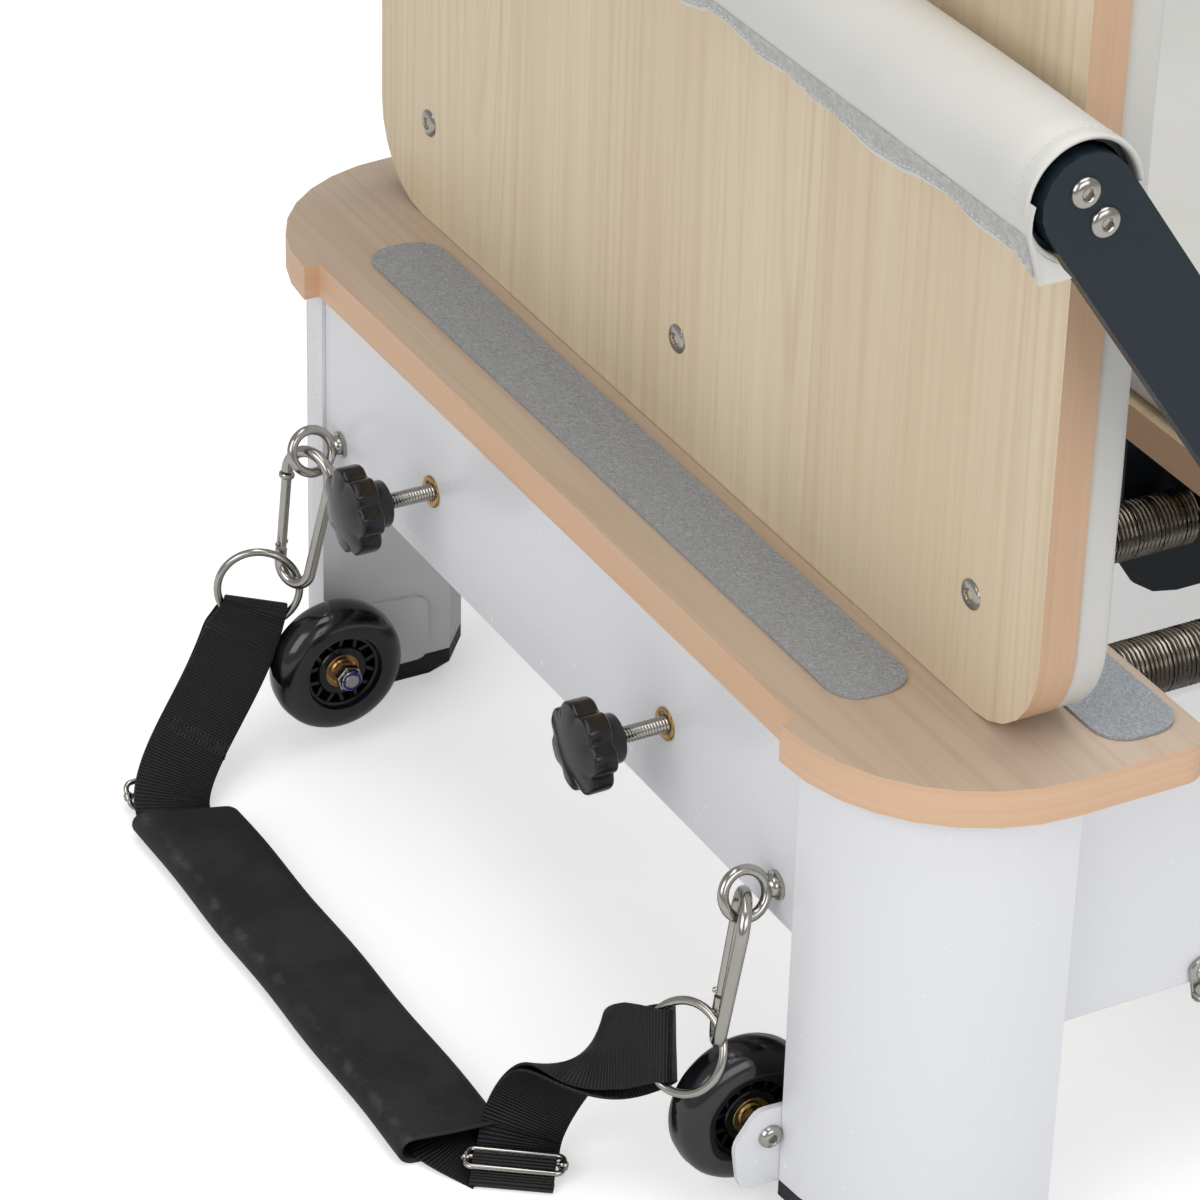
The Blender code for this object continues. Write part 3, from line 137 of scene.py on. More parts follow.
# %% [markdown]
# ## Light, floor and backdrop
# A product photograph like this one has wide soft boxes and a white sweep. Three large area
# lamps and a pale world do the same. The floor is a white surface that takes the object's
# shadow, and a little light of its own, seen by the camera alone, lifts the empty floor to
# white.

# %% Soft box
def area_lamp(name, place, target, size, watts):
    data = bpy.data.lights.new(name, "AREA")
    data.shape = "RECTANGLE"
    data.size, data.size_y = size
    data.energy = watts
    lamp = bpy.data.objects.new(name, data)
    lamp.location = place
    lamp.rotation_euler = (Vector(place) - Vector(target)).to_track_quat("Z", "Y").to_euler()
    bpy.context.scene.collection.objects.link(lamp)

# %% World
WORLD_STRENGTH = 0.42


def make_world():
    world = bpy.data.worlds.new("studio")
    world.use_nodes = True
    nodes, links = world.node_tree.nodes, world.node_tree.links
    back = nodes["Background"]
    back.inputs["Color"].default_value = (1, 1, 1, 1)
    path = nodes.new("ShaderNodeLightPath")
    seen = nodes.new("ShaderNodeMath")
    seen.operation = "MAXIMUM"
    links.new(path.outputs["Is Camera Ray"], seen.inputs[0])
    links.new(path.outputs["Is Transmission Ray"], seen.inputs[1])
    level = nodes.new("ShaderNodeMapRange")
    level.inputs["To Min"].default_value = WORLD_STRENGTH
    level.inputs["To Max"].default_value = 1.0
    links.new(seen.outputs[0], level.inputs["Value"])
    links.new(level.outputs["Result"], back.inputs["Strength"])
    bpy.context.scene.world = world

# %% Floor
FLOOR_SIZE = 14.0
FLOOR_WHITE = 0.80
FLOOR_GLOW = 0.46


def make_floor():
    mesh = bpy.data.meshes.new("floor")
    half = FLOOR_SIZE / 2
    corners = [(-half, -half, 0), (half, -half, 0), (half, half, 0), (-half, half, 0)]
    mesh.from_pydata(corners, [], [(0, 1, 2, 3)])
    floor = bpy.data.objects.new("floor", mesh)
    bpy.context.scene.collection.objects.link(floor)
    material = bpy.data.materials.new("white floor")
    material.use_nodes = True
    nodes, links = material.node_tree.nodes, material.node_tree.links
    shader = nodes["Principled BSDF"]
    shader.inputs["Base Color"].default_value = (FLOOR_WHITE, FLOOR_WHITE, FLOOR_WHITE, 1)
    shader.inputs["Roughness"].default_value = 0.9
    shader.inputs["Specular IOR Level"].default_value = 0.1
    path = nodes.new("ShaderNodeLightPath")
    glow = nodes.new("ShaderNodeEmission")
    links.new(path.outputs["Is Camera Ray"], glow.inputs["Strength"])
    both = nodes.new("ShaderNodeAddShader")
    links.new(shader.outputs[0], both.inputs[0])
    links.new(glow.outputs[0], both.inputs[1])
    glow.inputs["Color"].default_value = (FLOOR_GLOW, FLOOR_GLOW, FLOOR_GLOW, 1)
    links.new(both.outputs[0], nodes["Material Output"].inputs["Surface"])
    mesh.materials.append(material)

# %% Light the set
make_world()
make_floor()
MIDDLE = (EDGE_X + 0.2, 0, 0.35)
area_lamp("overhead box", (EDGE_X + 0.6, -0.2, 3.4), MIDDLE, size=(3.2, 2.6), watts=62)
area_lamp("front box", (EDGE_X - 2.6, -0.9, 1.9), MIDDLE, size=(2.2, 2.0), watts=34)
area_lamp("side box", (EDGE_X + 0.4, -3.0, 1.6), MIDDLE, size=(2.4, 1.6), watts=26)
bpy.context.scene.view_settings.view_transform = "Standard"
print("lamps:", len(bpy.data.lights))

# %% [markdown]
# ## Helpers for materials
# Colours are written as a screen shows them, 0 to 255, and turned to linear light once. The
# other helpers add nodes and join them, so each finish below reads as a short recipe.

# %% Colours
def rgb(red, green, blue):
    """Screen colour to linear light, with alpha."""
    linear = []
    for value in (red, green, blue):
        value /= 255
        linear.append(value / 12.92 if value <= 0.04045 else ((value + 0.055) / 1.055) ** 2.4)
    return (*linear, 1.0)

# %% Recipe for a material
class Recipe:
    """A material under construction: its tree, its shader and a few ways to add to it."""

    def __init__(self, name, colour, roughness, metallic=0.0, specular=0.5):
        self.material = bpy.data.materials.new(name)
        self.material.use_nodes = True
        self.nodes = self.material.node_tree.nodes
        self.links = self.material.node_tree.links
        self.shader = self.nodes["Principled BSDF"]
        self.shader.inputs["Base Color"].default_value = colour
        self.shader.inputs["Roughness"].default_value = roughness
        self.shader.inputs["Metallic"].default_value = metallic
        self.shader.inputs["Specular IOR Level"].default_value = specular
        self.place = self.nodes.new("ShaderNodeTexCoord").outputs["Object"]

    def stretched(self, scale, turn=(0, 0, 0)):
        """Object coordinates, turned and then scaled along each axis."""
        mapping = self.nodes.new("ShaderNodeMapping")
        mapping.inputs["Scale"].default_value = scale
        mapping.inputs["Rotation"].default_value = turn
        self.links.new(self.place, mapping.inputs["Vector"])
        return mapping.outputs["Vector"]

    def noise(self, vector, scale, detail=2.0, roughness=0.5, distortion=0.0):
        texture = self.nodes.new("ShaderNodeTexNoise")
        texture.inputs["Scale"].default_value = scale
        texture.inputs["Detail"].default_value = detail
        texture.inputs["Roughness"].default_value = roughness
        texture.inputs["Distortion"].default_value = distortion
        self.links.new(vector, texture.inputs["Vector"])
        return texture.outputs["Fac"]

    def cells(self, scale):
        """Soft-edged cells, for leather grain and pebbles."""
        texture = self.nodes.new("ShaderNodeTexVoronoi")
        texture.feature = "SMOOTH_F1"
        texture.inputs["Scale"].default_value = scale
        self.links.new(self.place, texture.inputs["Vector"])
        return texture.outputs["Distance"]

    def math(self, operation, *values):
        """One arithmetic step on sockets or plain numbers."""
        step = self.nodes.new("ShaderNodeMath")
        step.operation = operation
        for socket, value in zip(step.inputs, values):
            self.feed(value, socket)
        return step.outputs[0]

    def feed(self, value, socket):
        """Join a socket, or set a plain value."""
        if isinstance(value, bpy.types.NodeSocket):
            self.links.new(value, socket)
        else:
            socket.default_value = value

    def remap(self, value, low, high, to_low=0.0, to_high=1.0):
        """Smooth step from one range to another."""
        step = self.nodes.new("ShaderNodeMapRange")
        step.interpolation_type = "SMOOTHSTEP"
        self.feed(value, step.inputs["Value"])
        step.inputs["From Min"].default_value = low
        step.inputs["From Max"].default_value = high
        step.inputs["To Min"].default_value = to_low
        step.inputs["To Max"].default_value = to_high
        return step.outputs["Result"]

    def mix(self, factor, first, second, blend="MIX"):
        """Two colours, mixed or multiplied by a factor."""
        step = self.nodes.new("ShaderNodeMix")
        step.data_type = "RGBA"
        step.blend_type = blend
        self.feed(factor, step.inputs["Factor"])
        self.feed(first, step.inputs[6])
        self.feed(second, step.inputs[7])
        return step.outputs[2]

    def separate(self, vector):
        step = self.nodes.new("ShaderNodeSeparateXYZ")
        self.links.new(vector, step.inputs[0])
        return step.outputs

    def normal(self):
        return self.nodes.new("ShaderNodeNewGeometry").outputs["True Normal"]

    def paint(self, colour):
        self.links.new(colour, self.shader.inputs["Base Color"])

    def bump(self, height, distance, strength=1.0):
        step = self.nodes.new("ShaderNodeBump")
        step.inputs["Distance"].default_value = distance
        step.inputs["Strength"].default_value = strength
        self.links.new(height, step.inputs["Height"])
        self.links.new(step.outputs["Normal"], self.shader.inputs["Normal"])

    def rough(self, value):
        self.links.new(value, self.shader.inputs["Roughness"])

# %% [markdown]
# ## Board finish
# The boards are particle board with a printed maple face. A print like this has thin lines
# that run with the grain and close into long narrow arches. They are the contour lines of a
# noise that is stretched along the grain. Fine pores and broad pale bands lie over them. The
# board's edge carries a plain peach band, chosen by the way a face points. Each board's copy
# of the finish also multiplies its face and its band by a darker factor of its own: that is
# painted shade for the way light falls on that board.

# %% Boards
FACE_PALE = rgb(227, 210, 182)
FACE_WARM = rgb(220, 201, 171)
FACE_LINE = rgb(200, 176, 143)
BAND_PALE = rgb(228, 190, 157)
BAND_DARK = rgb(221, 181, 147)
LINE_COUNT = 170.0


def stretched_along(recipe, along, fine, coarse):
    """Object coordinates drawn out along one axis."""
    scale = [fine] * 3
    scale["xyz".index(along)] = coarse
    return recipe.stretched(scale)

# %% Printed board
def board_finish(name, along, face_axis, painted_face_shade, painted_band_shade, seed):
    """Printed maple: grain runs along one axis, and faces square to face_axis show it. The two darkening
    factors are painted shade for this board.
    """
    recipe = Recipe(name, FACE_PALE, 0.42)
    shift = recipe.nodes.new("ShaderNodeVectorMath")
    shift.operation = "ADD"
    shift.inputs[1].default_value = (seed, seed * 0.7, seed * 1.3)
    recipe.links.new(stretched_along(recipe, along, 8.0, 0.55), shift.inputs[0])
    vector = shift.outputs[0]
    field = recipe.noise(vector, 1.0, 1.0, 0.3, 0.1)
    waves = recipe.math("SINE", recipe.math("MULTIPLY", field, LINE_COUNT))
    line = recipe.remap(waves, 0.55, 1.0)
    where = recipe.remap(recipe.noise(vector, 1.9, 1.0), 0.35, 0.65, 0.25, 1.0)
    line = recipe.math("MULTIPLY", line, where)
    bands = recipe.remap(recipe.noise(vector, 2.2, 2.0, 0.6), 0.25, 0.75)
    pores = recipe.noise(stretched_along(recipe, along, 900.0, 12.0), 1.0, 2.0, 0.6)
    fibres = recipe.noise(stretched_along(recipe, along, 240.0, 3.0), 1.0, 3.0, 0.65)
    colour = recipe.mix(bands, FACE_PALE, FACE_WARM)
    colour = recipe.mix(recipe.math("MULTIPLY", line, 0.30), colour, FACE_LINE)
    colour = recipe.mix(recipe.remap(fibres, 0.42, 0.72, 0.0, 0.34), colour, FACE_LINE)
    colour = recipe.mix(recipe.remap(pores, 0.55, 0.75, 0.0, 0.20), colour, FACE_LINE)
    # painted shade: the face colour multiplied by this board's darker factor
    shaded_face = recipe.mix(1.0, colour, (*painted_face_shade, 1.0), blend="MULTIPLY")
    edge_grain = recipe.noise(stretched_along(recipe, face_axis, 5.0, 420.0), 1.0, 2.0)
    # painted shade: the edge band darkened by this board's factor
    pale = tuple(value * painted_band_shade for value in BAND_PALE[:3]) + (1.0,)
    dark = tuple(value * painted_band_shade for value in BAND_DARK[:3]) + (1.0,)
    band = recipe.mix(recipe.remap(edge_grain, 0.2, 0.8), pale, dark)
    facing = recipe.separate(recipe.normal())["xyz".index(face_axis)]
    facing = recipe.math("ABSOLUTE", facing)
    recipe.paint(recipe.mix(recipe.math("GREATER_THAN", facing, 0.7), band, shaded_face))
    recipe.rough(recipe.remap(pores, 0.3, 0.7, 0.40, 0.50))
    recipe.bump(pores, 0.00003, 0.4)
    return recipe.material

# %% Two of the boards
# The platform's face and band carry painted shade; the jump board's face is left as printed and its band
# carries painted shade.
platform_board = board_finish("platform maple", "y", "z", painted_face_shade=(0.78, 0.74, 0.80),
                              painted_band_shade=0.92, seed=3.1)
jump_maple = board_finish("jump board maple", "z", "x", painted_face_shade=(1.0, 1.0, 1.0),
                          painted_band_shade=0.80, seed=7.4)
print("boards:", platform_board.name, "and", jump_maple.name)

# %% [markdown]
# ## Painted, coated and plated finishes
# Paint has a faint orange peel that only shows in its gloss. Upholstery is a coated cloth with
# a fine leather grain. Steel is either powder coated, zinc plated or nickel plated. Each one
# gets its own small bump and a roughness that varies a little.

# %% Paint
def white_paint():
    recipe = Recipe("white paint", rgb(228, 229, 232), 0.22, specular=0.5)
    peel = recipe.noise(recipe.place, 240.0, 2.0)
    recipe.bump(peel, 0.00002, 0.3)
    handled = recipe.noise(recipe.place, 2.0, 1.0)
    recipe.rough(recipe.remap(peel, 0.2, 0.8, 0.18, 0.28))
    recipe.paint(recipe.mix(handled, rgb(230, 231, 234), rgb(226, 227, 231)))
    return recipe.material

# %% Upholstery and grip
def upholstery():
    recipe = Recipe("white upholstery", rgb(209, 208, 204), 0.45, specular=0.4)
    grain = recipe.cells(1100.0)
    soft = recipe.noise(recipe.place, 420.0, 3.0)
    height = recipe.math("ADD", grain, recipe.math("MULTIPLY", soft, 0.8))
    recipe.bump(height, 0.00007, 0.45)
    cloud = recipe.noise(recipe.place, 9.0, 3.0)
    recipe.paint(recipe.mix(recipe.remap(cloud, 0.3, 0.7), rgb(211, 210, 206), rgb(206, 205, 200)))
    recipe.rough(recipe.remap(soft, 0.3, 0.7, 0.42, 0.54))
    return recipe.material


def grip_cloth():
    recipe = Recipe("grey grip", rgb(150, 150, 152), 0.6, specular=0.4)
    wrinkle = recipe.noise(recipe.place, 620.0, 1.0, 0.4, 1.6)
    pebble = recipe.cells(520.0)
    height = recipe.math("SUBTRACT", wrinkle, recipe.math("MULTIPLY", pebble, 0.6))
    recipe.bump(height, 0.0009, 1.0)
    recipe.paint(recipe.mix(recipe.remap(wrinkle, 0.35, 0.65), rgb(152, 156, 161), rgb(174, 178, 183)))
    return recipe.material

# %% Powder coat and plating
def dark_coat():
    recipe = Recipe("dark coat", rgb(26, 38, 46), 0.36, specular=0.3)
    peel = recipe.noise(recipe.place, 900.0, 2.0)
    recipe.bump(peel, 0.00003, 0.5)
    recipe.rough(recipe.remap(peel, 0.3, 0.7, 0.34, 0.46))
    return recipe.material


def plated(name, colour, low, high):
    recipe = Recipe(name, colour, low, metallic=1.0)
    cloud = recipe.noise(recipe.place, 160.0, 3.0, 0.6)
    recipe.rough(recipe.remap(cloud, 0.3, 0.7, low, high))
    scratch = recipe.noise(recipe.stretched((900, 900, 120)), 1.0, 2.0)
    recipe.bump(scratch, 0.00001, 0.4)
    return recipe.material

# %% Rubber and plastic
def black_moulded(name, colour, roughness, grain, depth):
    recipe = Recipe(name, colour, roughness, specular=0.5)
    texture = recipe.noise(recipe.place, grain, 2.0)
    recipe.bump(texture, depth, 0.5)
    recipe.rough(recipe.remap(texture, 0.3, 0.7, roughness * 0.85, min(1.0, roughness * 1.2)))
    return recipe.material

# %% The painted, coated and plated finishes
WHITE_PAINT = white_paint()
WHITE_COVER = upholstery()
GRIP = grip_cloth()
DARK_COAT = dark_coat()
NICKEL = plated("nickel", rgb(176, 173, 167), 0.12, 0.22)
ZINC = plated("zinc", rgb(188, 190, 192), 0.22, 0.34)
BRASS = plated("yellow zinc", rgb(184, 148, 96), 0.22, 0.34)
SPRING_STEEL = plated("spring steel", rgb(142, 135, 126), 0.22, 0.34)
BLACK_RUBBER = black_moulded("black rubber", rgb(20, 20, 22), 0.42, 700.0, 0.00004)
BLACK_PLASTIC = black_moulded("black plastic", rgb(14, 14, 15), 0.20, 500.0, 0.00002)
BLUE_NYLON = black_moulded("blue nylon", rgb(38, 52, 165), 0.4, 800.0, 0.00003)
print("finishes so far:", len(bpy.data.materials))

# %% [markdown]
# ## Cloth, thread and tyre
# Webbing shows ribs that run across it wherever it twists, so its pattern can't be laid over
# it from outside. Each point of the cloth pieces carries its place on the flat cloth in an
# attribute named weave, and the ribs with their painted highlight and shade, the yarns and the
# sleeve's paler edge are drawn from that.

# %% Webbing
def attribute_place(recipe):
    """The point's own place on the cloth: x across, y along."""
    node = recipe.nodes.new("ShaderNodeAttribute")
    node.attribute_name = "weave"
    return node.outputs["Vector"]


def ribbed_webbing():
    """Ribs run across the band, broken up by the warp yarns that cross them; their crests are painted
    lighter and their hollows darker, as painted highlight and shade.
    """
    recipe = Recipe("black webbing", rgb(14, 14, 16), 0.42, specular=0.35)
    across, along, _ = recipe.separate(attribute_place(recipe))
    rib = recipe.math("ABSOLUTE", recipe.math("SINE", recipe.math("MULTIPLY", along, 2100.0)))
    yarn = recipe.math("SINE", recipe.math("MULTIPLY", across, 7400.0))
    height = recipe.math("ADD", rib, recipe.math("MULTIPLY", yarn, 0.22))
    recipe.bump(height, 0.00035, 1.0)
    cloud = recipe.noise(recipe.place, 60.0, 3.0)
    # painted highlight and shade: the colour follows each rib's height, darkest in the hollows
    tone = recipe.mix(rib, rgb(3, 3, 4), rgb(20, 20, 23))
    recipe.paint(recipe.mix(recipe.remap(cloud, 0.35, 0.7, 0.0, 0.15), tone, rgb(30, 30, 34)))
    recipe.rough(recipe.remap(rib, 0.0, 1.0, 0.60, 0.33))
    return recipe.material

# %% Leathercloth
SLEEVE_PALE_EDGE = 0.0215


def leathercloth():
    """Matt black cover, paler grey in patches along one long edge."""
    recipe = Recipe("black leathercloth", rgb(27, 28, 30), 0.62, specular=0.35)
    across, _, _ = recipe.separate(attribute_place(recipe))
    grain = recipe.noise(recipe.place, 900.0, 3.0, 0.6)
    soft = recipe.noise(recipe.place, 35.0, 3.0)
    recipe.bump(recipe.math("ADD", grain, recipe.math("MULTIPLY", soft, 1.5)), 0.00012, 0.6)
    # paler grey in patches along the rounded long edge on the -x side
    from_edge = recipe.math("ABSOLUTE", recipe.math("ADD", across, SLEEVE_PALE_EDGE))
    edge = recipe.remap(from_edge, 0.0, 0.004, 1.0, 0.0)
    patchiness = recipe.remap(recipe.noise(recipe.place, 90.0, 3.0, 0.6), 0.42, 0.70)
    pale_patches = recipe.math("MULTIPLY", edge, patchiness)
    base = recipe.mix(recipe.remap(soft, 0.35, 0.65), rgb(24, 25, 27), rgb(36, 37, 39))
    recipe.paint(recipe.mix(recipe.math("MULTIPLY", pale_patches, 0.30), base, rgb(98, 98, 100)))
    recipe.rough(recipe.remap(grain, 0.3, 0.7, 0.55, 0.72))
    return recipe.material

# %% Tyre
def cast_tyre():
    """Glossy cast urethane, nearly black, with a faint smoky depth."""
    recipe = Recipe("cast tyre", rgb(17, 18, 21), 0.16, specular=0.5)
    cloud = recipe.noise(recipe.place, 55.0, 3.0)
    dust = recipe.noise(recipe.place, 900.0, 2.0, 0.7)
    recipe.paint(recipe.mix(recipe.remap(cloud, 0.3, 0.7), rgb(14, 15, 18), rgb(24, 25, 29)))
    recipe.rough(recipe.math("ADD", recipe.remap(cloud, 0.3, 0.7, 0.10, 0.20),
                             recipe.remap(dust, 0.55, 0.8, 0.0, 0.12)))
    recipe.shader.inputs["Coat Weight"].default_value = 0.4
    recipe.shader.inputs["Coat Roughness"].default_value = 0.06
    return recipe.material

# %% Thread and loop pile
def thread(name, pale, dark):
    """Sewing thread: twisted, with fine slanting bands painted darker along the twist as painted shade."""
    recipe = Recipe(name, pale, 0.6, specular=0.3)
    twist = recipe.noise(recipe.stretched((3000, 3000, 1200), (0.4, 0.3, 0.2)), 1.0, 1.0)
    # painted shade: darker bands along the twist's grooves
    recipe.paint(recipe.mix(recipe.remap(twist, 0.35, 0.65), dark, pale))
    recipe.bump(twist, 0.00005, 0.6)
    return recipe.material


def loop_pile():
    """Fuzzy grey loop strip with paler stray fibres."""
    recipe = Recipe("loop pile", rgb(190, 191, 189), 0.95, specular=0.1)
    fibre = recipe.noise(recipe.place, 2600.0, 3.0, 0.75, 2.0)
    lumps = recipe.noise(recipe.place, 420.0, 3.0, 0.6)
    recipe.bump(recipe.math("ADD", fibre, lumps), 0.00025, 0.8)
    tone = recipe.mix(recipe.remap(lumps, 0.35, 0.65), rgb(180, 181, 179), rgb(198, 199, 197))
    recipe.paint(recipe.mix(recipe.remap(fibre, 0.55, 0.75, 0.0, 0.6), tone, rgb(216, 216, 214)))
    return recipe.material

# %% The cloth, thread and tyre finishes
WEBBING = ribbed_webbing()
LEATHERCLOTH = leathercloth()
TYRE = cast_tyre()
WHITE_THREAD = thread("white thread", rgb(236, 235, 230), rgb(205, 204, 198))
BLACK_THREAD = thread("black thread", rgb(66, 66, 72), rgb(30, 30, 34))
LOOP_PILE = loop_pile()
print("finishes:", len(bpy.data.materials))

# %% [markdown]
# ## Finishes on the rigid pieces
# The imported names say what each piece is, so a short table of name beginnings gives every
# rigid piece its finish. The first beginning that fits counts, so the special ones come first.

# %% Dress the imported pieces
# The carriage board's face and band carry painted shade.
carriage_maple = board_finish("carriage maple", "x", "z", painted_face_shade=(0.80, 0.74, 0.70),
                              painted_band_shade=0.90, seed=1.7)
FINISH_BY_START = (
    ("foot_platform", platform_board),
    ("head_platform", platform_board),
    ("jump_board", jump_maple),
    ("carriage_board", carriage_maple),
    ("carriage_frame", DARK_COAT),
    ("foot_bar", DARK_COAT),
    ("spring_anchor", DARK_COAT),
    ("grip_strip", GRIP),
    ("foot_glide", BLACK_RUBBER),
    ("foot_hinge", ZINC),
    ("head_hinge", ZINC),
    ("foot_", WHITE_PAINT),
    ("head_", WHITE_PAINT),
    ("wheel_bracket", WHITE_PAINT),
    ("clamp_pad", BLACK_PLASTIC),
    ("pulley_post", DARK_COAT),
)
SOFT = ("headrest", "jump_board_pad", "foot_bar_pad")


def finish_of(node):
    """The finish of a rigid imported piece, or None where this script makes the piece anew."""
    for start, material in FINISH_BY_START:
        if node.startswith(start) and node not in SOFT:
            return material
    return None


RIGID = [node for node in NODES if finish_of(node)]
print("rigid pieces kept from the model:", len(RIGID))

# %% [markdown]
# ## Helpers for shapes
# Nearly every small piece here is a row of rings with faces between them. A wire is a circle
# carried along a path, a turned part is its profile carried round an axis, and a strap is a
# thin oval carried along a ribbon's middle line. One skinning function serves them all, and
# each piece gathers its shells before it becomes an object.

# %% Skin
SIDES = ((1, "left"), (-1, "right"))


def skin(rings, loop=False):
    """Points, and faces between rings of equal length; an open row gets a cap at each end."""
    size = len(rings[0])
    points = [point for ring in rings for point in ring]
    faces = []
    for i in range(len(rings) if loop else len(rings) - 1):
        a = i * size
        b = (i + 1) % len(rings) * size
        for j in range(size):
            k = (j + 1) % size
            faces.append((a + j, a + k, b + k, b + j))
    if not loop:
        faces.append(tuple(reversed(range(size))))
        faces.append(tuple(range(len(points) - size, len(points))))
    return points, faces

# %% Wire
def wire(path, radius, sides=14, loop=False):
    """A round wire along a path, its section carried on without twist."""
    rings = []
    normal = None
    last = len(path) - 1
    for i, place in enumerate(path):
        before = path[i - 1] if i or loop else place
        after = path[(i + 1) % len(path)] if i < last or loop else place
        ahead = (after - before).normalized()
        if normal is None:
            normal = ahead.orthogonal()
        normal = (normal - ahead * normal.dot(ahead)).normalized()
        side = ahead.cross(normal)
        ring = []
        for k in range(sides):
            angle = 2 * math.pi * k / sides
            ring.append(place + (normal * math.cos(angle) + side * math.sin(angle)) * radius)
        rings.append(ring)
    return skin(rings, loop)

# %% Turned shapes and arcs
def six_sided(radius, angle):
    """Radius of a hexagon, across its flats, in a direction."""
    return radius / math.cos(angle % (math.pi / 3) - math.pi / 6)


def turned(profile, origin, axis, steps=36, shape=None):
    """A shell turned about an axis from a closed run of (along, radius) pairs."""
    axis = Vector(axis).normalized()
    first = axis.orthogonal().normalized()
    second = axis.cross(first)
    rings = []
    for k in range(steps):
        angle = 2 * math.pi * k / steps
        way = first * math.cos(angle) + second * math.sin(angle)
        ring = []
        for along, radius in profile:
            reach = shape(along, radius, angle) if shape else radius
            ring.append(Vector(origin) + axis * along + way * reach)
        rings.append(ring)
    return skin(rings, loop=True)


def arc(centre, radius, start, end, steps):
    """Points on an arc in a plane, angles in degrees."""
    points = []
    for k in range(steps + 1):
        angle = math.radians(start + (end - start) * k / steps)
        points.append((centre[0] + radius * math.cos(angle), centre[1] + radius * math.sin(angle)))
    return points

# %% Meshes become objects
DOUBLES = 1e-6


def finish_mesh(name, mesh, material, sharp, turn=True):
    """Merge, turn outwards, smooth up to a sharp angle, and link as an object."""
    form = bmesh.new()
    form.from_mesh(mesh)
    bmesh.ops.remove_doubles(form, verts=form.verts, dist=DOUBLES)
    if turn:
        bmesh.ops.recalc_face_normals(form, faces=form.faces)
    form.to_mesh(mesh)
    form.free()
    mesh.materials.clear()
    mesh.materials.append(material)
    mesh.shade_smooth()
    mesh.set_sharp_from_angle(angle=math.radians(sharp))
    obj = bpy.data.objects.new(name, mesh)
    bpy.context.scene.collection.objects.link(obj)
    return obj


class Form:
    """The shells of one piece, gathered until it becomes an object."""

    def __init__(self):
        self.points = []
        self.faces = []
        self.marks = []

    def add(self, shell, marks=None):
        """Take in a shell, with the place on flat cloth of each of its points."""
        points, faces = shell
        start = len(self.points)
        self.points += points
        self.faces += [tuple(start + i for i in face) for face in faces]
        self.marks += marks or [(0.0, 0.0, 0.0)] * len(points)
        return self

    def add_grown(self, mesh):
        """Take in a mesh that a node tree has grown, and drop the mesh."""
        points = [vertex.co.copy() for vertex in mesh.vertices]
        self.add((points, [tuple(face.vertices) for face in mesh.polygons]))
        bpy.data.meshes.remove(mesh)

    def build(self, name, material, body, slot, replaces=(), sharp=40):
        mesh = bpy.data.meshes.new(name)
        mesh.from_pydata([tuple(point) for point in self.points], [], self.faces)
        weave = mesh.attributes.new("weave", "FLOAT_VECTOR", "POINT")
        weave.data.foreach_set("vector", [value for mark in self.marks for value in mark])
        obj = finish_mesh(name, mesh, material, sharp)
        if body:
            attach(obj, body)
        if replaces:
            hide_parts(*replaces)
        print(name, "faces:", len(obj.data.polygons))
        return obj

# %% [markdown]
# ## Rigid pieces
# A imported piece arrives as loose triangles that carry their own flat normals, so its rounded
# corners would show their facets. A copy drops those normals, is merged and shaded smooth up
# to a sharp angle, and has its normals weighed by area, which keeps the flat faces flat. The
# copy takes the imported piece's place and changes no size.

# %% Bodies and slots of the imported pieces
BODY_OF = {}
for body, members in frame["record"]["behaviour"]["bodies"].items():
    for member in members:
        BODY_OF[member] = body
print("pieces with a body:", len(BODY_OF))

# %% Smooth copies of the rigid pieces
SHARP_ANGLE = 32
PACKED_LAYERS = ("custom_normal", "sharp_edge", "sharp_face")


def smooth_copy(node):
    mesh = NODES[node].data.copy()
    for layer in PACKED_LAYERS:
        if layer in mesh.attributes:
            mesh.attributes.remove(mesh.attributes[layer])
    obj = finish_mesh(node + "_smooth", mesh, finish_of(node), SHARP_ANGLE, turn=False)
    modifier = obj.modifiers.new("weigh normals", "WEIGHTED_NORMAL")
    modifier.keep_sharp = True
    depsgraph = bpy.context.evaluated_depsgraph_get()
    weighed = bpy.data.meshes.new_from_object(obj.evaluated_get(depsgraph))
    obj.modifiers.clear()
    obj.data = weighed
    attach(obj, BODY_OF[node])
    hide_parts(node)


for node in RIGID:
    smooth_copy(node)
print("smooth copies:", len(RIGID))

# %% [markdown]
# ## Geometry node trees
# Coils, stitches and screws repeat, so each is grown by a small node tree. A tree is built in
# code with named inputs, run once on a helper object, and its result is kept as a plain mesh.
# The three trees here wind a coil, sew stitches along a path and set copies of a template on
# points.

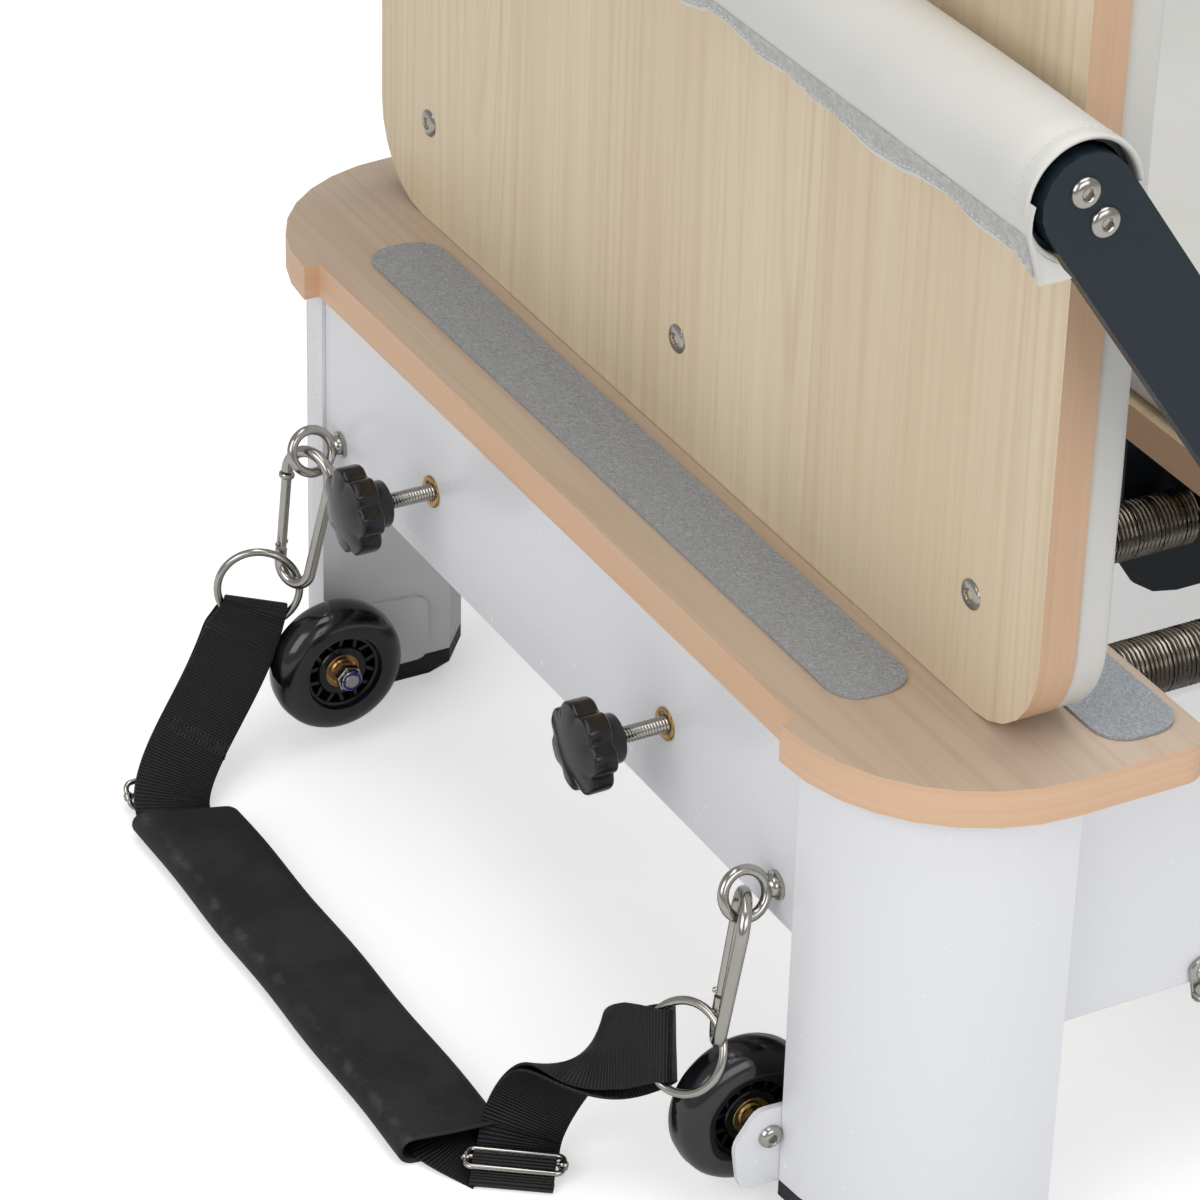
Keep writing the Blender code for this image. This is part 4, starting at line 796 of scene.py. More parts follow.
# %% Tree under construction
class Tree:
    """A geometry node group under construction."""

    def __init__(self, name, takes_path=False):
        self.group = bpy.data.node_groups.new(name, "GeometryNodeTree")
        interface = self.group.interface
        interface.new_socket("Geometry", in_out="OUTPUT", socket_type="NodeSocketGeometry")
        if takes_path:
            interface.new_socket("Path", in_out="INPUT", socket_type="NodeSocketGeometry")
        self.start = self.group.nodes.new("NodeGroupInput")
        self.end = self.group.nodes.new("NodeGroupOutput")

    def value(self, name, kind, default=None):
        """A named input of the tree."""
        socket = self.group.interface.new_socket(
            name, in_out="INPUT", socket_type="NodeSocket" + kind)
        if default is not None:
            socket.default_value = default
        return self.start.outputs[name]

    def step(self, kind, feeds, output=0, **settings):
        """One node: its settings first, because some inputs only exist after them."""
        node = self.group.nodes.new(kind)
        for name, value in settings.items():
            setattr(node, name, value)
        for name, value in feeds.items():
            socket = node.inputs[name]
            if isinstance(value, bpy.types.NodeSocket):
                self.group.links.new(value, socket)
            else:
                socket.default_value = value
        return node.outputs[output]

    def close(self, geometry):
        """Every tree ends the same way: instances made real, and the material set."""
        material = self.value("Material", "Material")
        real = self.step("GeometryNodeRealizeInstances", {"Geometry": geometry})
        done = self.step("GeometryNodeSetMaterial", {"Geometry": real, "Material": material})
        self.group.links.new(done, self.end.inputs["Geometry"])
        return self

    def grow(self, name, values, path=None):
        """Run the tree once and keep the result as a plain mesh."""
        mesh = bpy.data.meshes.new(name)
        if path:
            edges = [(i, i + 1) for i in range(len(path) - 1)]
            mesh.from_pydata([tuple(point) for point in path], edges, [])
        holder = bpy.data.objects.new(name + " holder", mesh)
        bpy.context.scene.collection.objects.link(holder)
        modifier = holder.modifiers.new("grow", "NODES")
        modifier.node_group = self.group
        for socket in self.group.interface.items_tree:
            if socket.in_out == "INPUT" and socket.name in values:
                modifier[socket.identifier] = values[socket.name]
        depsgraph = bpy.context.evaluated_depsgraph_get()
        grown = bpy.data.meshes.new_from_object(holder.evaluated_get(depsgraph))
        bpy.data.objects.remove(holder)
        return grown

# %% Coil tree
COIL_SECTION = 6


def coil_tree():
    tree = Tree("wind a coil")
    turns = tree.value("Turns", "Float", 10.0)
    radius = tree.value("Radius", "Float", 0.01)
    length = tree.value("Length", "Float", 0.1)
    thickness = tree.value("Wire", "Float", 0.002)
    place = tree.value("Place", "Vector")
    helix = tree.step("GeometryNodeCurveSpiral", {
        "Resolution": 16, "Rotations": turns, "Start Radius": radius, "End Radius": radius,
        "Height": length})
    section = tree.step("GeometryNodeCurvePrimitiveCircle", {
        "Resolution": COIL_SECTION, "Radius": thickness})
    tube = tree.step("GeometryNodeCurveToMesh", {
        "Curve": helix, "Profile Curve": section, "Fill Caps": True})
    lying = tree.step("GeometryNodeTransform", {
        "Geometry": tube, "Rotation": (0, math.pi / 2, 0), "Translation": place})
    return tree.close(lying)

# %% Stitch tree
def stitch_tree():
    tree = Tree("sew along a path", takes_path=True)
    pitch = tree.value("Pitch", "Float", 0.004)
    size = tree.value("Size", "Vector", (0.0014, 0.0004, 0.0004))
    curve = tree.step("GeometryNodeMeshToCurve", {"Mesh": tree.start.outputs["Path"]})
    spaced = tree.step("GeometryNodeResampleCurve", {"Curve": curve, "Length": pitch}, mode="LENGTH")
    tangent = tree.step("GeometryNodeInputTangent", {})
    turn = tree.step("FunctionNodeAlignRotationToVector", {"Vector": tangent}, axis="X")
    ball = tree.step("GeometryNodeMeshUVSphere", {"Segments": 8, "Rings": 5, "Radius": 1.0})
    sewn = tree.step("GeometryNodeInstanceOnPoints", {
        "Points": spaced, "Instance": ball, "Rotation": turn, "Scale": size})
    return tree.close(sewn)

# %% Copies tree
def copies_tree():
    tree = Tree("set copies on points", takes_path=True)
    template = tree.value("Template", "Object")
    turn = tree.value("Turn", "Vector")
    info = tree.step("GeometryNodeObjectInfo", {"Object": template}, output="Geometry")
    rotation = tree.step("FunctionNodeEulerToRotation", {"Euler": turn})
    placed = tree.step("GeometryNodeInstanceOnPoints", {
        "Points": tree.start.outputs["Path"], "Instance": info, "Rotation": rotation})
    return tree.close(placed)

# %% The three trees
COIL = coil_tree()
STITCH = stitch_tree()
COPIES = copies_tree()
print("node trees:", len(bpy.data.node_groups))

# %% Sewing
def sew(name, paths, material, body, slot, pitch, size):
    """Stitches along one or more paths, as one piece."""
    form = Form()
    for number, path in enumerate(paths):
        form.add_grown(STITCH.grow(f"{name} {number}", {"Pitch": pitch, "Size": size}, path))
    form.build(name, material, body, slot)

# %% [markdown]
# ## Upholstered pads
# A pad is foam under a tightly drawn cover. Its front is crowned, its sides are pulled in a
# little between the corners, and its cover lies in very faint waves. Cloth simulation would
# give this too. The pads here are firm, so rounded rings that step inward from the outline do
# the same with full control: each ring has its own height on the crown.

# %% Outline of a pad
PAD_STEPS = 26
PAD_CORNER_STEPS = 9


def rounded_outline(half_u, half_v, radius, pull):
    """Rounded rectangle whose straight sides draw in towards their middles."""
    outline = []
    corners = ((1, 1, 0), (-1, 1, 90), (-1, -1, 180), (1, -1, 270))
    for su, sv, start in corners:
        centre = (su * (half_u - radius), sv * (half_v - radius))
        outline += arc(centre, radius, start, start + 90, PAD_CORNER_STEPS)
        nu, nv, _ = corners[(corners.index((su, sv, start)) + 1) % 4]
        a = outline[-1]
        b = (nu * (half_u - radius) + (nu * radius if su == nu else 0),
             nv * (half_v - radius) + (nv * radius if sv == nv else 0))
        for k in range(1, PAD_STEPS):
            share = k / PAD_STEPS
            outline.append((a[0] + (b[0] - a[0]) * share, a[1] + (b[1] - a[1]) * share))
    drawn = []
    for u, v in outline:
        across_u = 1 - min(abs(v) / half_v, 1) ** 2
        across_v = 1 - min(abs(u) / half_u, 1) ** 2
        drawn.append((u * (1 - pull * across_u / half_u), v * (1 - pull * across_v / half_v)))
    return drawn

# %% Crowned pad
PAD_SHOULDER = (0, 15, 30, 45, 60, 75, 90)
PAD_CROWN = (0.08, 0.16, 0.26, 0.38, 0.52, 0.68, 0.84, 0.97)
PAD_PULL = 0.0015
PAD_WAVE = 0.0003


def pad(name, body, node, low, high, face, corner, crown, edge):
    """Crowned pad between two corners of a box; face is the axis and sign that it looks along."""
    axis = "xyz".index(face[1])
    sign = 1 if face[0] == "+" else -1
    across = [k for k in range(3) if k != axis]
    middle = (low + high) / 2
    half_u = (high - low)[across[0]] / 2
    half_v = (high - low)[across[1]] / 2
    depth = (high - low)[axis]
    reach = min(half_u, half_v)
    levels = [(reach * 0.97, 0.0), (edge * 0.6, 0.0), (edge * 0.25, edge * 0.12), (0.0, edge * 0.5)]
    levels += [(0.0, depth * share - crown * share) for share in (0.3, 0.5, 0.7)]
    for angle in PAD_SHOULDER:
        turn = math.radians(angle)
        levels.append((edge * (1 - math.cos(turn)), depth - crown - edge * (1 - math.sin(turn))))
    for share in PAD_CROWN:
        inset = edge + (reach - edge) * share
        levels.append((inset, depth - crown + crown * math.sin(math.pi / 2 * min(share / 0.55, 1))))
    rings = []
    for inset, height in levels:
        radius = max(corner - inset, corner * 0.3 * (1 - inset / reach) + 0.0004)
        pull = PAD_PULL * (1 - inset / reach)
        outline = rounded_outline(half_u - inset, half_v - inset, radius, pull)
        ring = []
        for u, v in outline:
            swell = PAD_WAVE * math.sin(u * 83 + v * 37) * math.sin(v * 61 - u * 29)
            point = middle.copy()
            point[across[0]] += u
            point[across[1]] += v
            along = height + (swell if 0.0 < height else 0.0)
            point[axis] = (low[axis] + along) if sign > 0 else (high[axis] - along)
            ring.append(point)
        rings.append(ring)
    obj = Form().add(skin(rings)).build(name, WHITE_COVER, body, "white_upholstery", [node], sharp=60)

# %% Pads
low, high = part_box("jump_board_pad")
pad("jump_board_cushion", "jump_board", "jump_board_pad", low, high, "+x",
    corner=0.045, crown=0.0015, edge=0.003)
low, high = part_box("carriage_pad")
pad("carriage_cushion", "carriage", "carriage_pad", low, high, "+z",
    corner=0.022, crown=0.004, edge=0.012)
for side, tag in SIDES:
    low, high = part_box(f"shoulder_rest_{tag}")
    pad(f"shoulder_cushion_{tag}", "carriage", f"shoulder_rest_{tag}", low, high, "-x",
        corner=0.035, crown=0.003, edge=0.009)
REST_BASE = 0.028
low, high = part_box("headrest")
low.z += REST_BASE
pad("headrest_cushion", "headrest", "headrest", low, high, "+z",
    corner=0.030, crown=0.006, edge=0.010)

# %% [markdown]
# The headrest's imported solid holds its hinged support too, so the support is made here: a
# black plate with rounded corners under the cushion.

# %% Headrest support
SUPPORT_INSET = 0.012
SUPPORT_CORNER = 0.02
SUPPORT_EDGE = 0.001
SUPPORT_GAP = 0.0003


def plate_rings(low, high, radius, edge):
    """Rings of a level plate with rounded corners and softened edges."""
    middle = (low + high) / 2
    half = (high - low) / 2
    rings = []
    for inset, z in ((edge, low.z), (0, low.z + edge), (0, high.z - edge), (edge, high.z)):
        outline = rounded_outline(half.x - inset, half.y - inset, radius - inset, 0)
        rings.append([Vector((middle.x + u, middle.y + v, z)) for u, v in outline])
    return rings


low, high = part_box("headrest")
support_low = Vector((low.x + SUPPORT_INSET, low.y + SUPPORT_INSET, low.z))
support_top = low.z + REST_BASE - SUPPORT_GAP
support_high = Vector((high.x - SUPPORT_INSET, high.y - SUPPORT_INSET, support_top))
Form().add(skin(plate_rings(support_low, support_high, SUPPORT_CORNER, SUPPORT_EDGE))).build(
    "headrest_support", BLACK_PLASTIC, "headrest", "black_plastic")

# %% [markdown]
# ## Foot bar pad
# The bar's foam sleeve is wrapped in a white cover. The cover closes with hook and loop: its
# lower edge carries a fuzzy grey strip and a white hem that stands off in loose waves. At each
# end the cover turns over a rim with a stitched seam, and the rim is open where the arm leaves.
# The roller is turned as rings of points, so the rim's notch is only a change in the rings'
# ends, and the flap is a ribbon whose width follows a short given list.

# %% Sizes of the roller
BAR = spot(0.0365, 0, 0.5485)
BAR_RADIUS = 0.0264
TUBE_RADIUS = 0.0235
ARM_WAY = math.radians(-55)
ARM_HALF = math.radians(56)
ROLL_END = 0.3477
RIM_END = 0.354
RIM_ROUND = 0.0012
SEAM_INSET = 0.0017
ROLL_STEPS = 144
print("roller radius:", BAR_RADIUS, "recess radius:", TUBE_RADIUS)

# %% Rim and section of the roller
def rim_share(angle):
    """1 round the open rim, 0 where the arm passes through it."""
    away = abs((angle - ARM_WAY + math.pi) % (2 * math.pi) - math.pi)
    share = min(max((away - ARM_HALF) / math.radians(5), 0.0), 1.0)
    return share * share * (3 - 2 * share)


def roller_profile():
    """Half of the roller's section as (y, radius, how far the rim moves it)."""
    inner = TUBE_RADIUS + 0.0004
    profile = [(0.0, inner, 0), (ROLL_END - 0.006, inner, 0), (ROLL_END - 0.002, inner, 0.6)]
    profile.append((ROLL_END - RIM_ROUND, inner, 1))
    for angle in (90, 65, 40, 20, 0):
        turn = math.radians(angle)
        profile.append((ROLL_END - RIM_ROUND * (1 - math.sin(turn)),
                        BAR_RADIUS - RIM_ROUND * (1 - math.cos(turn)), 1))
    profile.append((ROLL_END - RIM_ROUND - 0.0002, BAR_RADIUS + 0.0003, 0.5))
    profile.append((ROLL_END - SEAM_INSET, BAR_RADIUS - 0.0005, 0))
    profile.append((ROLL_END - SEAM_INSET - 0.0014, BAR_RADIUS, 0))
    profile += [(ROLL_END - 0.013 - 0.024 * k, BAR_RADIUS, 0) for k in range(14)]
    return profile

# %% Roller
def roller_shell():
    """The section carried round the bar, its rim pushed out except where the arm passes."""
    half = roller_profile()
    rings = []
    for k in range(ROLL_STEPS):
        angle = 2 * math.pi * k / ROLL_STEPS
        share = rim_share(angle)
        ring = []
        for side, run in ((1, half), (-1, list(reversed(half))[0:-1])):
            for y, radius, moved in run:
                place = y + (RIM_END - ROLL_END) * share * moved
                soft = 0.00025 * math.sin(place * 41 + 3 * angle) if radius >= BAR_RADIUS else 0.0
                reach = radius + soft
                ring.append(BAR + Vector((math.cos(angle) * reach, side * place, math.sin(angle) * reach)))
        rings.append(ring)
    return skin(rings, loop=True)


roller = Form().add(roller_shell()).build(
    "foot_bar_cushion", WHITE_COVER, "foot_bar", "white_upholstery", ["foot_bar_pad"], sharp=60)

# %% [markdown]
# The flap's free edge is read off the photograph: how far it hangs below the place where it
# leaves the roller, at a few stations towards the right end. The left end isn't in view and
# repeats them. The strip of loop pile is a second, thinner ribbon on top, roughened by fine
# waves so that its surface is fuzzy, and a line of stitches runs along the hem.

# %% Course of the flap
FLAP_STATIONS = (
    (0.000, 0.0125), (0.045, 0.0150), (0.070, 0.0110), (0.091, 0.0140), (0.105, 0.0117),
    (0.114, 0.0083), (0.1325, 0.0073), (0.146, 0.0085), (0.156, 0.0117), (0.176, 0.0100),
    (0.187, 0.0115), (0.198, 0.0148), (0.213, 0.0150), (0.226, 0.0137), (0.247, 0.0160),
    (0.260, 0.0153), (0.278, 0.0118), (0.296, 0.0107), (0.316, 0.0121), (0.331, 0.0120),
    (0.342, 0.0136), (0.3575, 0.0215),
)


def flap_length(y):
    """How far the flap hangs below the roller at a place along the bar."""
    y = abs(y)
    for (y0, s0), (y1, s1) in zip(FLAP_STATIONS, FLAP_STATIONS[1:]):
        if y <= y1:
            share = (y - y0) / (y1 - y0)
            share = share * share * (3 - 2 * share)
            return s0 + (s1 - s0) * share
    return FLAP_STATIONS[-1][1]


def flap_lift(y, s):
    """How far the free part stands off its flat fall, in gentle waves."""
    wave = math.sin(y * 74 + 0.6) + 0.6 * math.sin(y * 139 + 2.1)
    return (0.0016 * wave + 0.0016) * (s / 0.02) ** 1.5

# %% Point on the flap
FLAP_TOP = math.radians(180)
FLAP_LEAVES = math.radians(200)
FLAP_THICK = 0.0012
FLAP_SUNK = 0.0008
FLAP_GAP = 0.0003


def flap_point(y, distance, outward):
    """A point on the flap: distance runs round the roller first and then straight on."""
    radius = BAR_RADIUS + FLAP_GAP + FLAP_THICK / 2
    arc_length = (FLAP_LEAVES - FLAP_TOP) * radius
    sunk = max(1 - (distance + 0.004) / (arc_length + 0.004), 0.0) ** 0.7
    outward -= (FLAP_GAP + FLAP_THICK + FLAP_SUNK) * sunk
    angle = FLAP_TOP + min(distance, arc_length) / radius
    way = Vector((math.cos(angle), 0, math.sin(angle)))
    ahead = Vector((-math.sin(angle), 0, math.cos(angle)))
    free = max(distance - arc_length, 0.0)
    return (BAR + Vector((0, y, 0)) + way * (radius + outward + flap_lift(y, free)) + ahead * free)

# %% Ribbon along the bar
RIBBON_COLUMNS = 10


def flap_ribbon(start, end, thickness, outward, y_end, rough=0.0, rows=420):
    """Closed ribbon along the bar, from one distance to another; both may depend on y."""
    rings = []
    for k in range(rows + 1):
        y = -y_end + 2 * y_end * k / rows
        s0, s1 = start(y), end(y)
        front, back = [], []
        for j in range(RIBBON_COLUMNS + 1):
            distance = s0 + (s1 - s0) * j / RIBBON_COLUMNS
            fuzz = 0.0
            if rough and 0 < j < RIBBON_COLUMNS:
                fuzz = rough * (math.sin(y * 2300 + j * 2.7) * math.sin(j * 1.9 + y * 1370)
                                + 0.5 * math.sin(y * 5200 + j * 4.1))
            front.append(flap_point(y, distance, outward + thickness / 2 + fuzz))
            back.append(flap_point(y, distance, outward - thickness / 2))
        rings.append(front + list(reversed(back)))
    return skin(rings)

# %% Flap and loop strip
ARC_PART = (FLAP_LEAVES - FLAP_TOP) * (BAR_RADIUS + FLAP_GAP + FLAP_THICK / 2)
FLAP_END = FLAP_STATIONS[-1][0]
FLAP_TUCK = -0.004
HEM = 0.0027
STRIP_END = 0.3550
STRIP_THICK = 0.0008
STRIP_UP = FLAP_THICK / 2 + 0.0005
STRIP_FUZZ = 0.00010


def flap_edge(y):
    return ARC_PART + flap_length(y)


Form().add(flap_ribbon(lambda y: FLAP_TUCK, flap_edge, FLAP_THICK, 0.0, FLAP_END)).build(
    "foot_bar_flap", WHITE_COVER, "foot_bar", "white_upholstery")
Form().add(flap_ribbon(lambda y: ARC_PART - 0.0005, lambda y: flap_edge(y) - HEM, STRIP_THICK,
                       STRIP_UP, STRIP_END, rough=STRIP_FUZZ, rows=900)).build(
    "foot_bar_loop_strip", LOOP_PILE, "foot_bar", "grey_grip")

# %% Stitches of the foot bar's cover
HEM_STITCH = 0.0046
HEM_END = 0.352
HEM_STEPS = 300
RIM_STEPS = 120
hem_path = []
for k in range(HEM_STEPS + 1):
    y = -HEM_END + 2 * HEM_END * k / HEM_STEPS
    hem_path.append(flap_point(y, flap_edge(y) - HEM_STITCH, FLAP_THICK / 2 + 0.0010))
rim_paths = []
for side, tag in SIDES:
    path = []
    for k in range(RIM_STEPS + 1):
        angle = ARM_WAY + ARM_HALF + 2 * (math.pi - ARM_HALF) * k / RIM_STEPS
        reach = BAR_RADIUS - 0.0003
        path.append(BAR + Vector((math.cos(angle) * reach, side * (ROLL_END - SEAM_INSET),
                                  math.sin(angle) * reach)))
    rim_paths.append(path)
sew("foot_bar_stitches", [hem_path] + rim_paths, WHITE_THREAD, "foot_bar", "white_upholstery",
    pitch=0.0036, size=(0.0012, 0.00030, 0.00030))

# %% [markdown]
# At each end the flap is turned in under the rim, as far as the arm, so a small fold hangs
# there below the roller.

# %% Turned-in ends of the flap
FOLD_TOP = (math.radians(203), math.radians(246))
FOLD_CORNERS = ((-0.0195, -0.0298), (-0.0054, -0.0298))
FOLD_Y = 0.3545
FOLD_STEPS = 14
FOLD_DROPS = 6
FOLD_RADIUS = BAR_RADIUS - 0.0004


def end_fold(side):
    """Thin patch between the rim's lower edge and a level hem, leaning out towards the hem."""
    rings = []
    for k in range(FOLD_STEPS + 1):
        share = k / FOLD_STEPS
        angle = FOLD_TOP[0] + (FOLD_TOP[1] - FOLD_TOP[0]) * share
        top = (FOLD_RADIUS * math.cos(angle), FOLD_RADIUS * math.sin(angle))
        low = tuple(a + (b - a) * share for a, b in zip(*FOLD_CORNERS))
        front, back = [], []
        for j in range(FOLD_DROPS + 1):
            down = j / FOLD_DROPS
            x = top[0] + (low[0] - top[0]) * down
            z = top[1] + (low[1] - top[1]) * down
            y = FOLD_Y + 0.0022 * down + 0.0005 * math.sin(math.pi * share) * down
            front.append(BAR + Vector((x, side * (y + FLAP_THICK / 2), z)))
            back.append(BAR + Vector((x, side * (y - FLAP_THICK / 2), z)))
        rings.append(front + list(reversed(back)))
    return skin(rings)


folds = Form()
for side, tag in SIDES:
    folds.add(end_fold(side))
folds.build("foot_bar_end_folds", WHITE_COVER, "foot_bar", "white_upholstery")

# %% [markdown]
# ## Eyebolts, carabiners and rings
# The foot strap hangs from two eyebolts. Each takes a carabiner, a pear of 6 mm wire whose
# spring gate closes one flank, and each carabiner holds a welded ring. All of them are bent
# wire, so each is one path swept with a round section. The places repeat the construction's
# own formulas, which makes the wires touch where the real ones do.

# %% Eyebolts
EYE_Y = 0.215
EYE_AT = (-0.012, 0.166)
EYE_RADIUS = 0.0107
EYE_WIRE = 0.0025
EYE_TWIST = math.radians(20)
BEAM_FACE_X = 0.004


def eye_plane():
    return Vector((0, math.sin(EYE_TWIST), math.cos(EYE_TWIST)))


def circle(centre, first, second, radius, steps):
    points = []
    for k in range(steps):
        angle = 2 * math.pi * k / steps
        points.append(centre + (first * math.cos(angle) + second * math.sin(angle)) * radius)
    return points


def eye_centre(side):
    return spot(EYE_AT[0], side * EYE_Y, EYE_AT[1])


def make_eyebolt(side, tag):
    """Bent eye, its shank, and a flanged collar against the beam."""
    centre = eye_centre(side)
    form = Form()
    form.add(wire(circle(centre, Vector((1, 0, 0)), eye_plane(), EYE_RADIUS, 64), EYE_WIRE, 18, loop=True))
    face = spot(BEAM_FACE_X - 0.0003, side * EYE_Y, EYE_AT[1])
    length = face.x - centre.x - EYE_RADIUS
    profile = [(0, 0), (0, 0.0068), (0.0012, 0.0068), (0.0016, 0.0062), (0.0016, 0.0050),
               (0.0035, 0.0047), (0.0048, 0.0034), (length, 0.0029), (length, 0.0)]
    form.add(turned(profile, face, (-1, 0, 0), 36))
    form.build(f"eyebolt_fine_{tag}", NICKEL, "foot_frame", "bright_steel", [f"eyebolt_{tag}"])

# %% How a carabiner and its ring hang
CARABINER_LENGTH = 0.078
CARABINER_WIRE = 0.003
CARABINER_WIDE = 0.0135
CARABINER_NARROW = 0.0095
CARABINER_SEAT = 0.001
CARABINER_LEAN = math.radians(9)
CARABINER_TURN = {"left": math.radians(-64), "right": math.radians(63)}
RING_RADIUS = 0.0205
RING_WIRE = 0.002
RING_PULL = {"left": (-0.10, 0.0, -0.99), "right": (-0.49, 0.82, -0.29)}
RING_SPREAD = {"left": (0.91, -0.41, -0.02), "right": (-0.25, -0.45, -0.86)}
RING_HANG = {"left": math.radians(-78), "right": math.radians(18)}


def hanging(side, tag):
    """The carabiner's frame of directions, and the ring's centre and plane."""
    down = Vector((-math.sin(CARABINER_LEAN), 0, -math.cos(CARABINER_LEAN)))
    across = Vector((math.cos(CARABINER_TURN[tag]), math.sin(CARABINER_TURN[tag]), 0))
    across = (across - down * across.dot(down)).normalized()
    top = eye_centre(side) - eye_plane() * CARABINER_SEAT
    spread = Vector(RING_SPREAD[tag]).normalized()
    pull = Vector(RING_PULL[tag])
    pull = (pull - spread * pull.dot(spread)).normalized()
    length = CARABINER_LENGTH - 2 * CARABINER_WIRE
    bottom = top + down * length
    to_centre = pull * math.cos(RING_HANG[tag]) + spread * math.sin(RING_HANG[tag])
    centre = bottom + to_centre * (RING_RADIUS - CARABINER_WIRE)
    return top, across, down, centre, spread, pull

# %% Carabiners and rings
GATE_FLANK = {"left": -1, "right": 1}
GATE_NOSE = 0.06
GATE_HINGE = 0.86
GATE_LAP = 0.03
GATE_STEPS = 6


def make_carabiner(side, tag):
    """Open wire from the gate's hinge round to its nose, the gate between them, and the ring."""
    top, across, down, centre, spread, pull = hanging(side, tag)
    across = across * GATE_FLANK[tag]
    wide = top + down * CARABINER_WIDE
    narrow = top + down * (CARABINER_LENGTH - 2 * CARABINER_WIRE - CARABINER_NARROW)

    def flank(share, sign=1):
        """Point on a straight flank, 0 at the wide end and 1 at the narrow one."""
        a = wide + across * CARABINER_WIDE * sign
        b = narrow + across * CARABINER_NARROW * sign
        return a + (b - a) * share

    path = [flank(GATE_NOSE - GATE_LAP)]
    path += [wide + across * u - down * v for u, v in arc((0, 0), CARABINER_WIDE, 0, 180, 24)]
    path += [flank(share, -1) for share in (0.25, 0.5, 0.75)]
    path += [narrow + across * u - down * v for u, v in arc((0, 0), CARABINER_NARROW, 180, 360, 20)]
    path.append(flank(GATE_HINGE + GATE_LAP))
    form = Form().add(wire(path, CARABINER_WIRE, 18))
    reach = GATE_HINGE - GATE_NOSE
    gate = [flank(GATE_NOSE + reach * k / GATE_STEPS) for k in range(GATE_STEPS + 1)]
    form.add(wire(gate, CARABINER_WIRE * 0.86, 18))
    normal = across.cross(down).normalized()
    pin = flank(GATE_HINGE - GATE_LAP)
    head = [(-0.0042, 0), (-0.0042, 0.0009), (-0.0037, 0.0013), (0.0037, 0.0013), (0.0042, 0.0009),
            (0.0042, 0)]
    form.add(turned(head, pin, normal, 16))
    lip = [(-0.0005, 0), (-0.0005, 0.0036), (0.0, 0.0040), (0.0016, 0.0040), (0.0021, 0.0036),
           (0.0021, 0)]
    form.add(turned(lip, flank(GATE_NOSE), down, 24))
    form.add(wire(circle(centre, pull, spread, RING_RADIUS, 72), RING_WIRE, 16, loop=True))
    form.build(f"carabiner_fine_{tag}", NICKEL, "foot_strap", "bright_steel", [f"carabiner_{tag}"])


for side, tag in SIDES:
    make_eyebolt(side, tag)
    make_carabiner(side, tag)

# %% [markdown]
# ## Webbing
# The strap is one flat band of ribbed webbing. At each side it runs up from the sleeve, turns
# over the ring, and comes down again over itself to a bar tack. A band like this has a fixed
# width and only bends along its length, so it is swept as a thin oval along the middle line,
# with directions that turn smoothly from the ring to the floor. Each point also keeps its
# place on the cloth, across and along, and the ribs of the weave are drawn from that.

# %% Sizes and places of the webbing
WEBBING_WIDTH = 0.038
WEBBING_THICKNESS = 0.0016
FOLD_WIDTH = 2 * (RING_RADIUS - RING_WIRE) - 0.005
LOOP_GAP = RING_WIRE + 0.0005
FOLD_ROLL = {"left": math.radians(9), "right": 0.0}
STRAP_DROP = {"left": (-0.58, -0.05, -0.84), "right": (-0.58, 0.65, -0.50)}
STRAP_REACH_UP = {"left": 0.042, "right": 0.050}
STRAP_TURN = {"left": 1.0, "right": 1.9}
STRAP_BULGE = (-0.004, 0.002, 0.010)
STRAP_REACH_IN = 0.026
SLEEVE_X = -0.1075
SLEEVE_Y = (-0.130, 0.160)
WEBBING_Z = 0.0039
STATIONS = 96
BUCKLE_AT = {"left": (-0.1030, 0.1930, 0.0085), "right": (-0.0890, -0.1545, 0.0072)}
BUCKLE_LONG = {"left": (1.0, 0.03, 0.02), "right": (0.82, -0.57, 0.0)}
BUCKLE_SHORT = {"left": (0.0, 0.62, 0.78), "right": (0.57, 0.82, 0.0)}
print("webbing:", WEBBING_WIDTH, "wide", WEBBING_THICKNESS, "thick")

# %% Middle line of a strap
RING_CLEAR = 0.0003
MOUTH_GAP = 0.004
BEFORE_BUCKLE = 0.012
BEFORE_BUCKLE_Z = 0.0062


def bezier(start, first, second, end, t):
    """Point on a cubic curve between two ends, drawn towards two handles."""
    s = 1 - t
    return start * s ** 3 + first * 3 * s * s * t + second * 3 * s * t * t + end * t ** 3


def strap_end(tag):
    """Lower end of a strap: its place, the way it comes down to it, and its level direction."""
    if tag == "left":
        end = spot(SLEEVE_X, SLEEVE_Y[1] + MOUTH_GAP, WEBBING_Z)
        return end, Vector((0, STRAP_REACH_IN, 0)) + Vector(STRAP_BULGE), Vector((1, 0, 0))
    short = Vector(BUCKLE_SHORT[tag]).normalized()
    end = spot(*BUCKLE_AT[tag]) + short * BEFORE_BUCKLE
    end.z = BEFORE_BUCKLE_Z
    lead = short * STRAP_REACH_IN * 0.7 + Vector((0, 0, 0.012))
    return end, lead, Vector(BUCKLE_LONG[tag]).normalized()


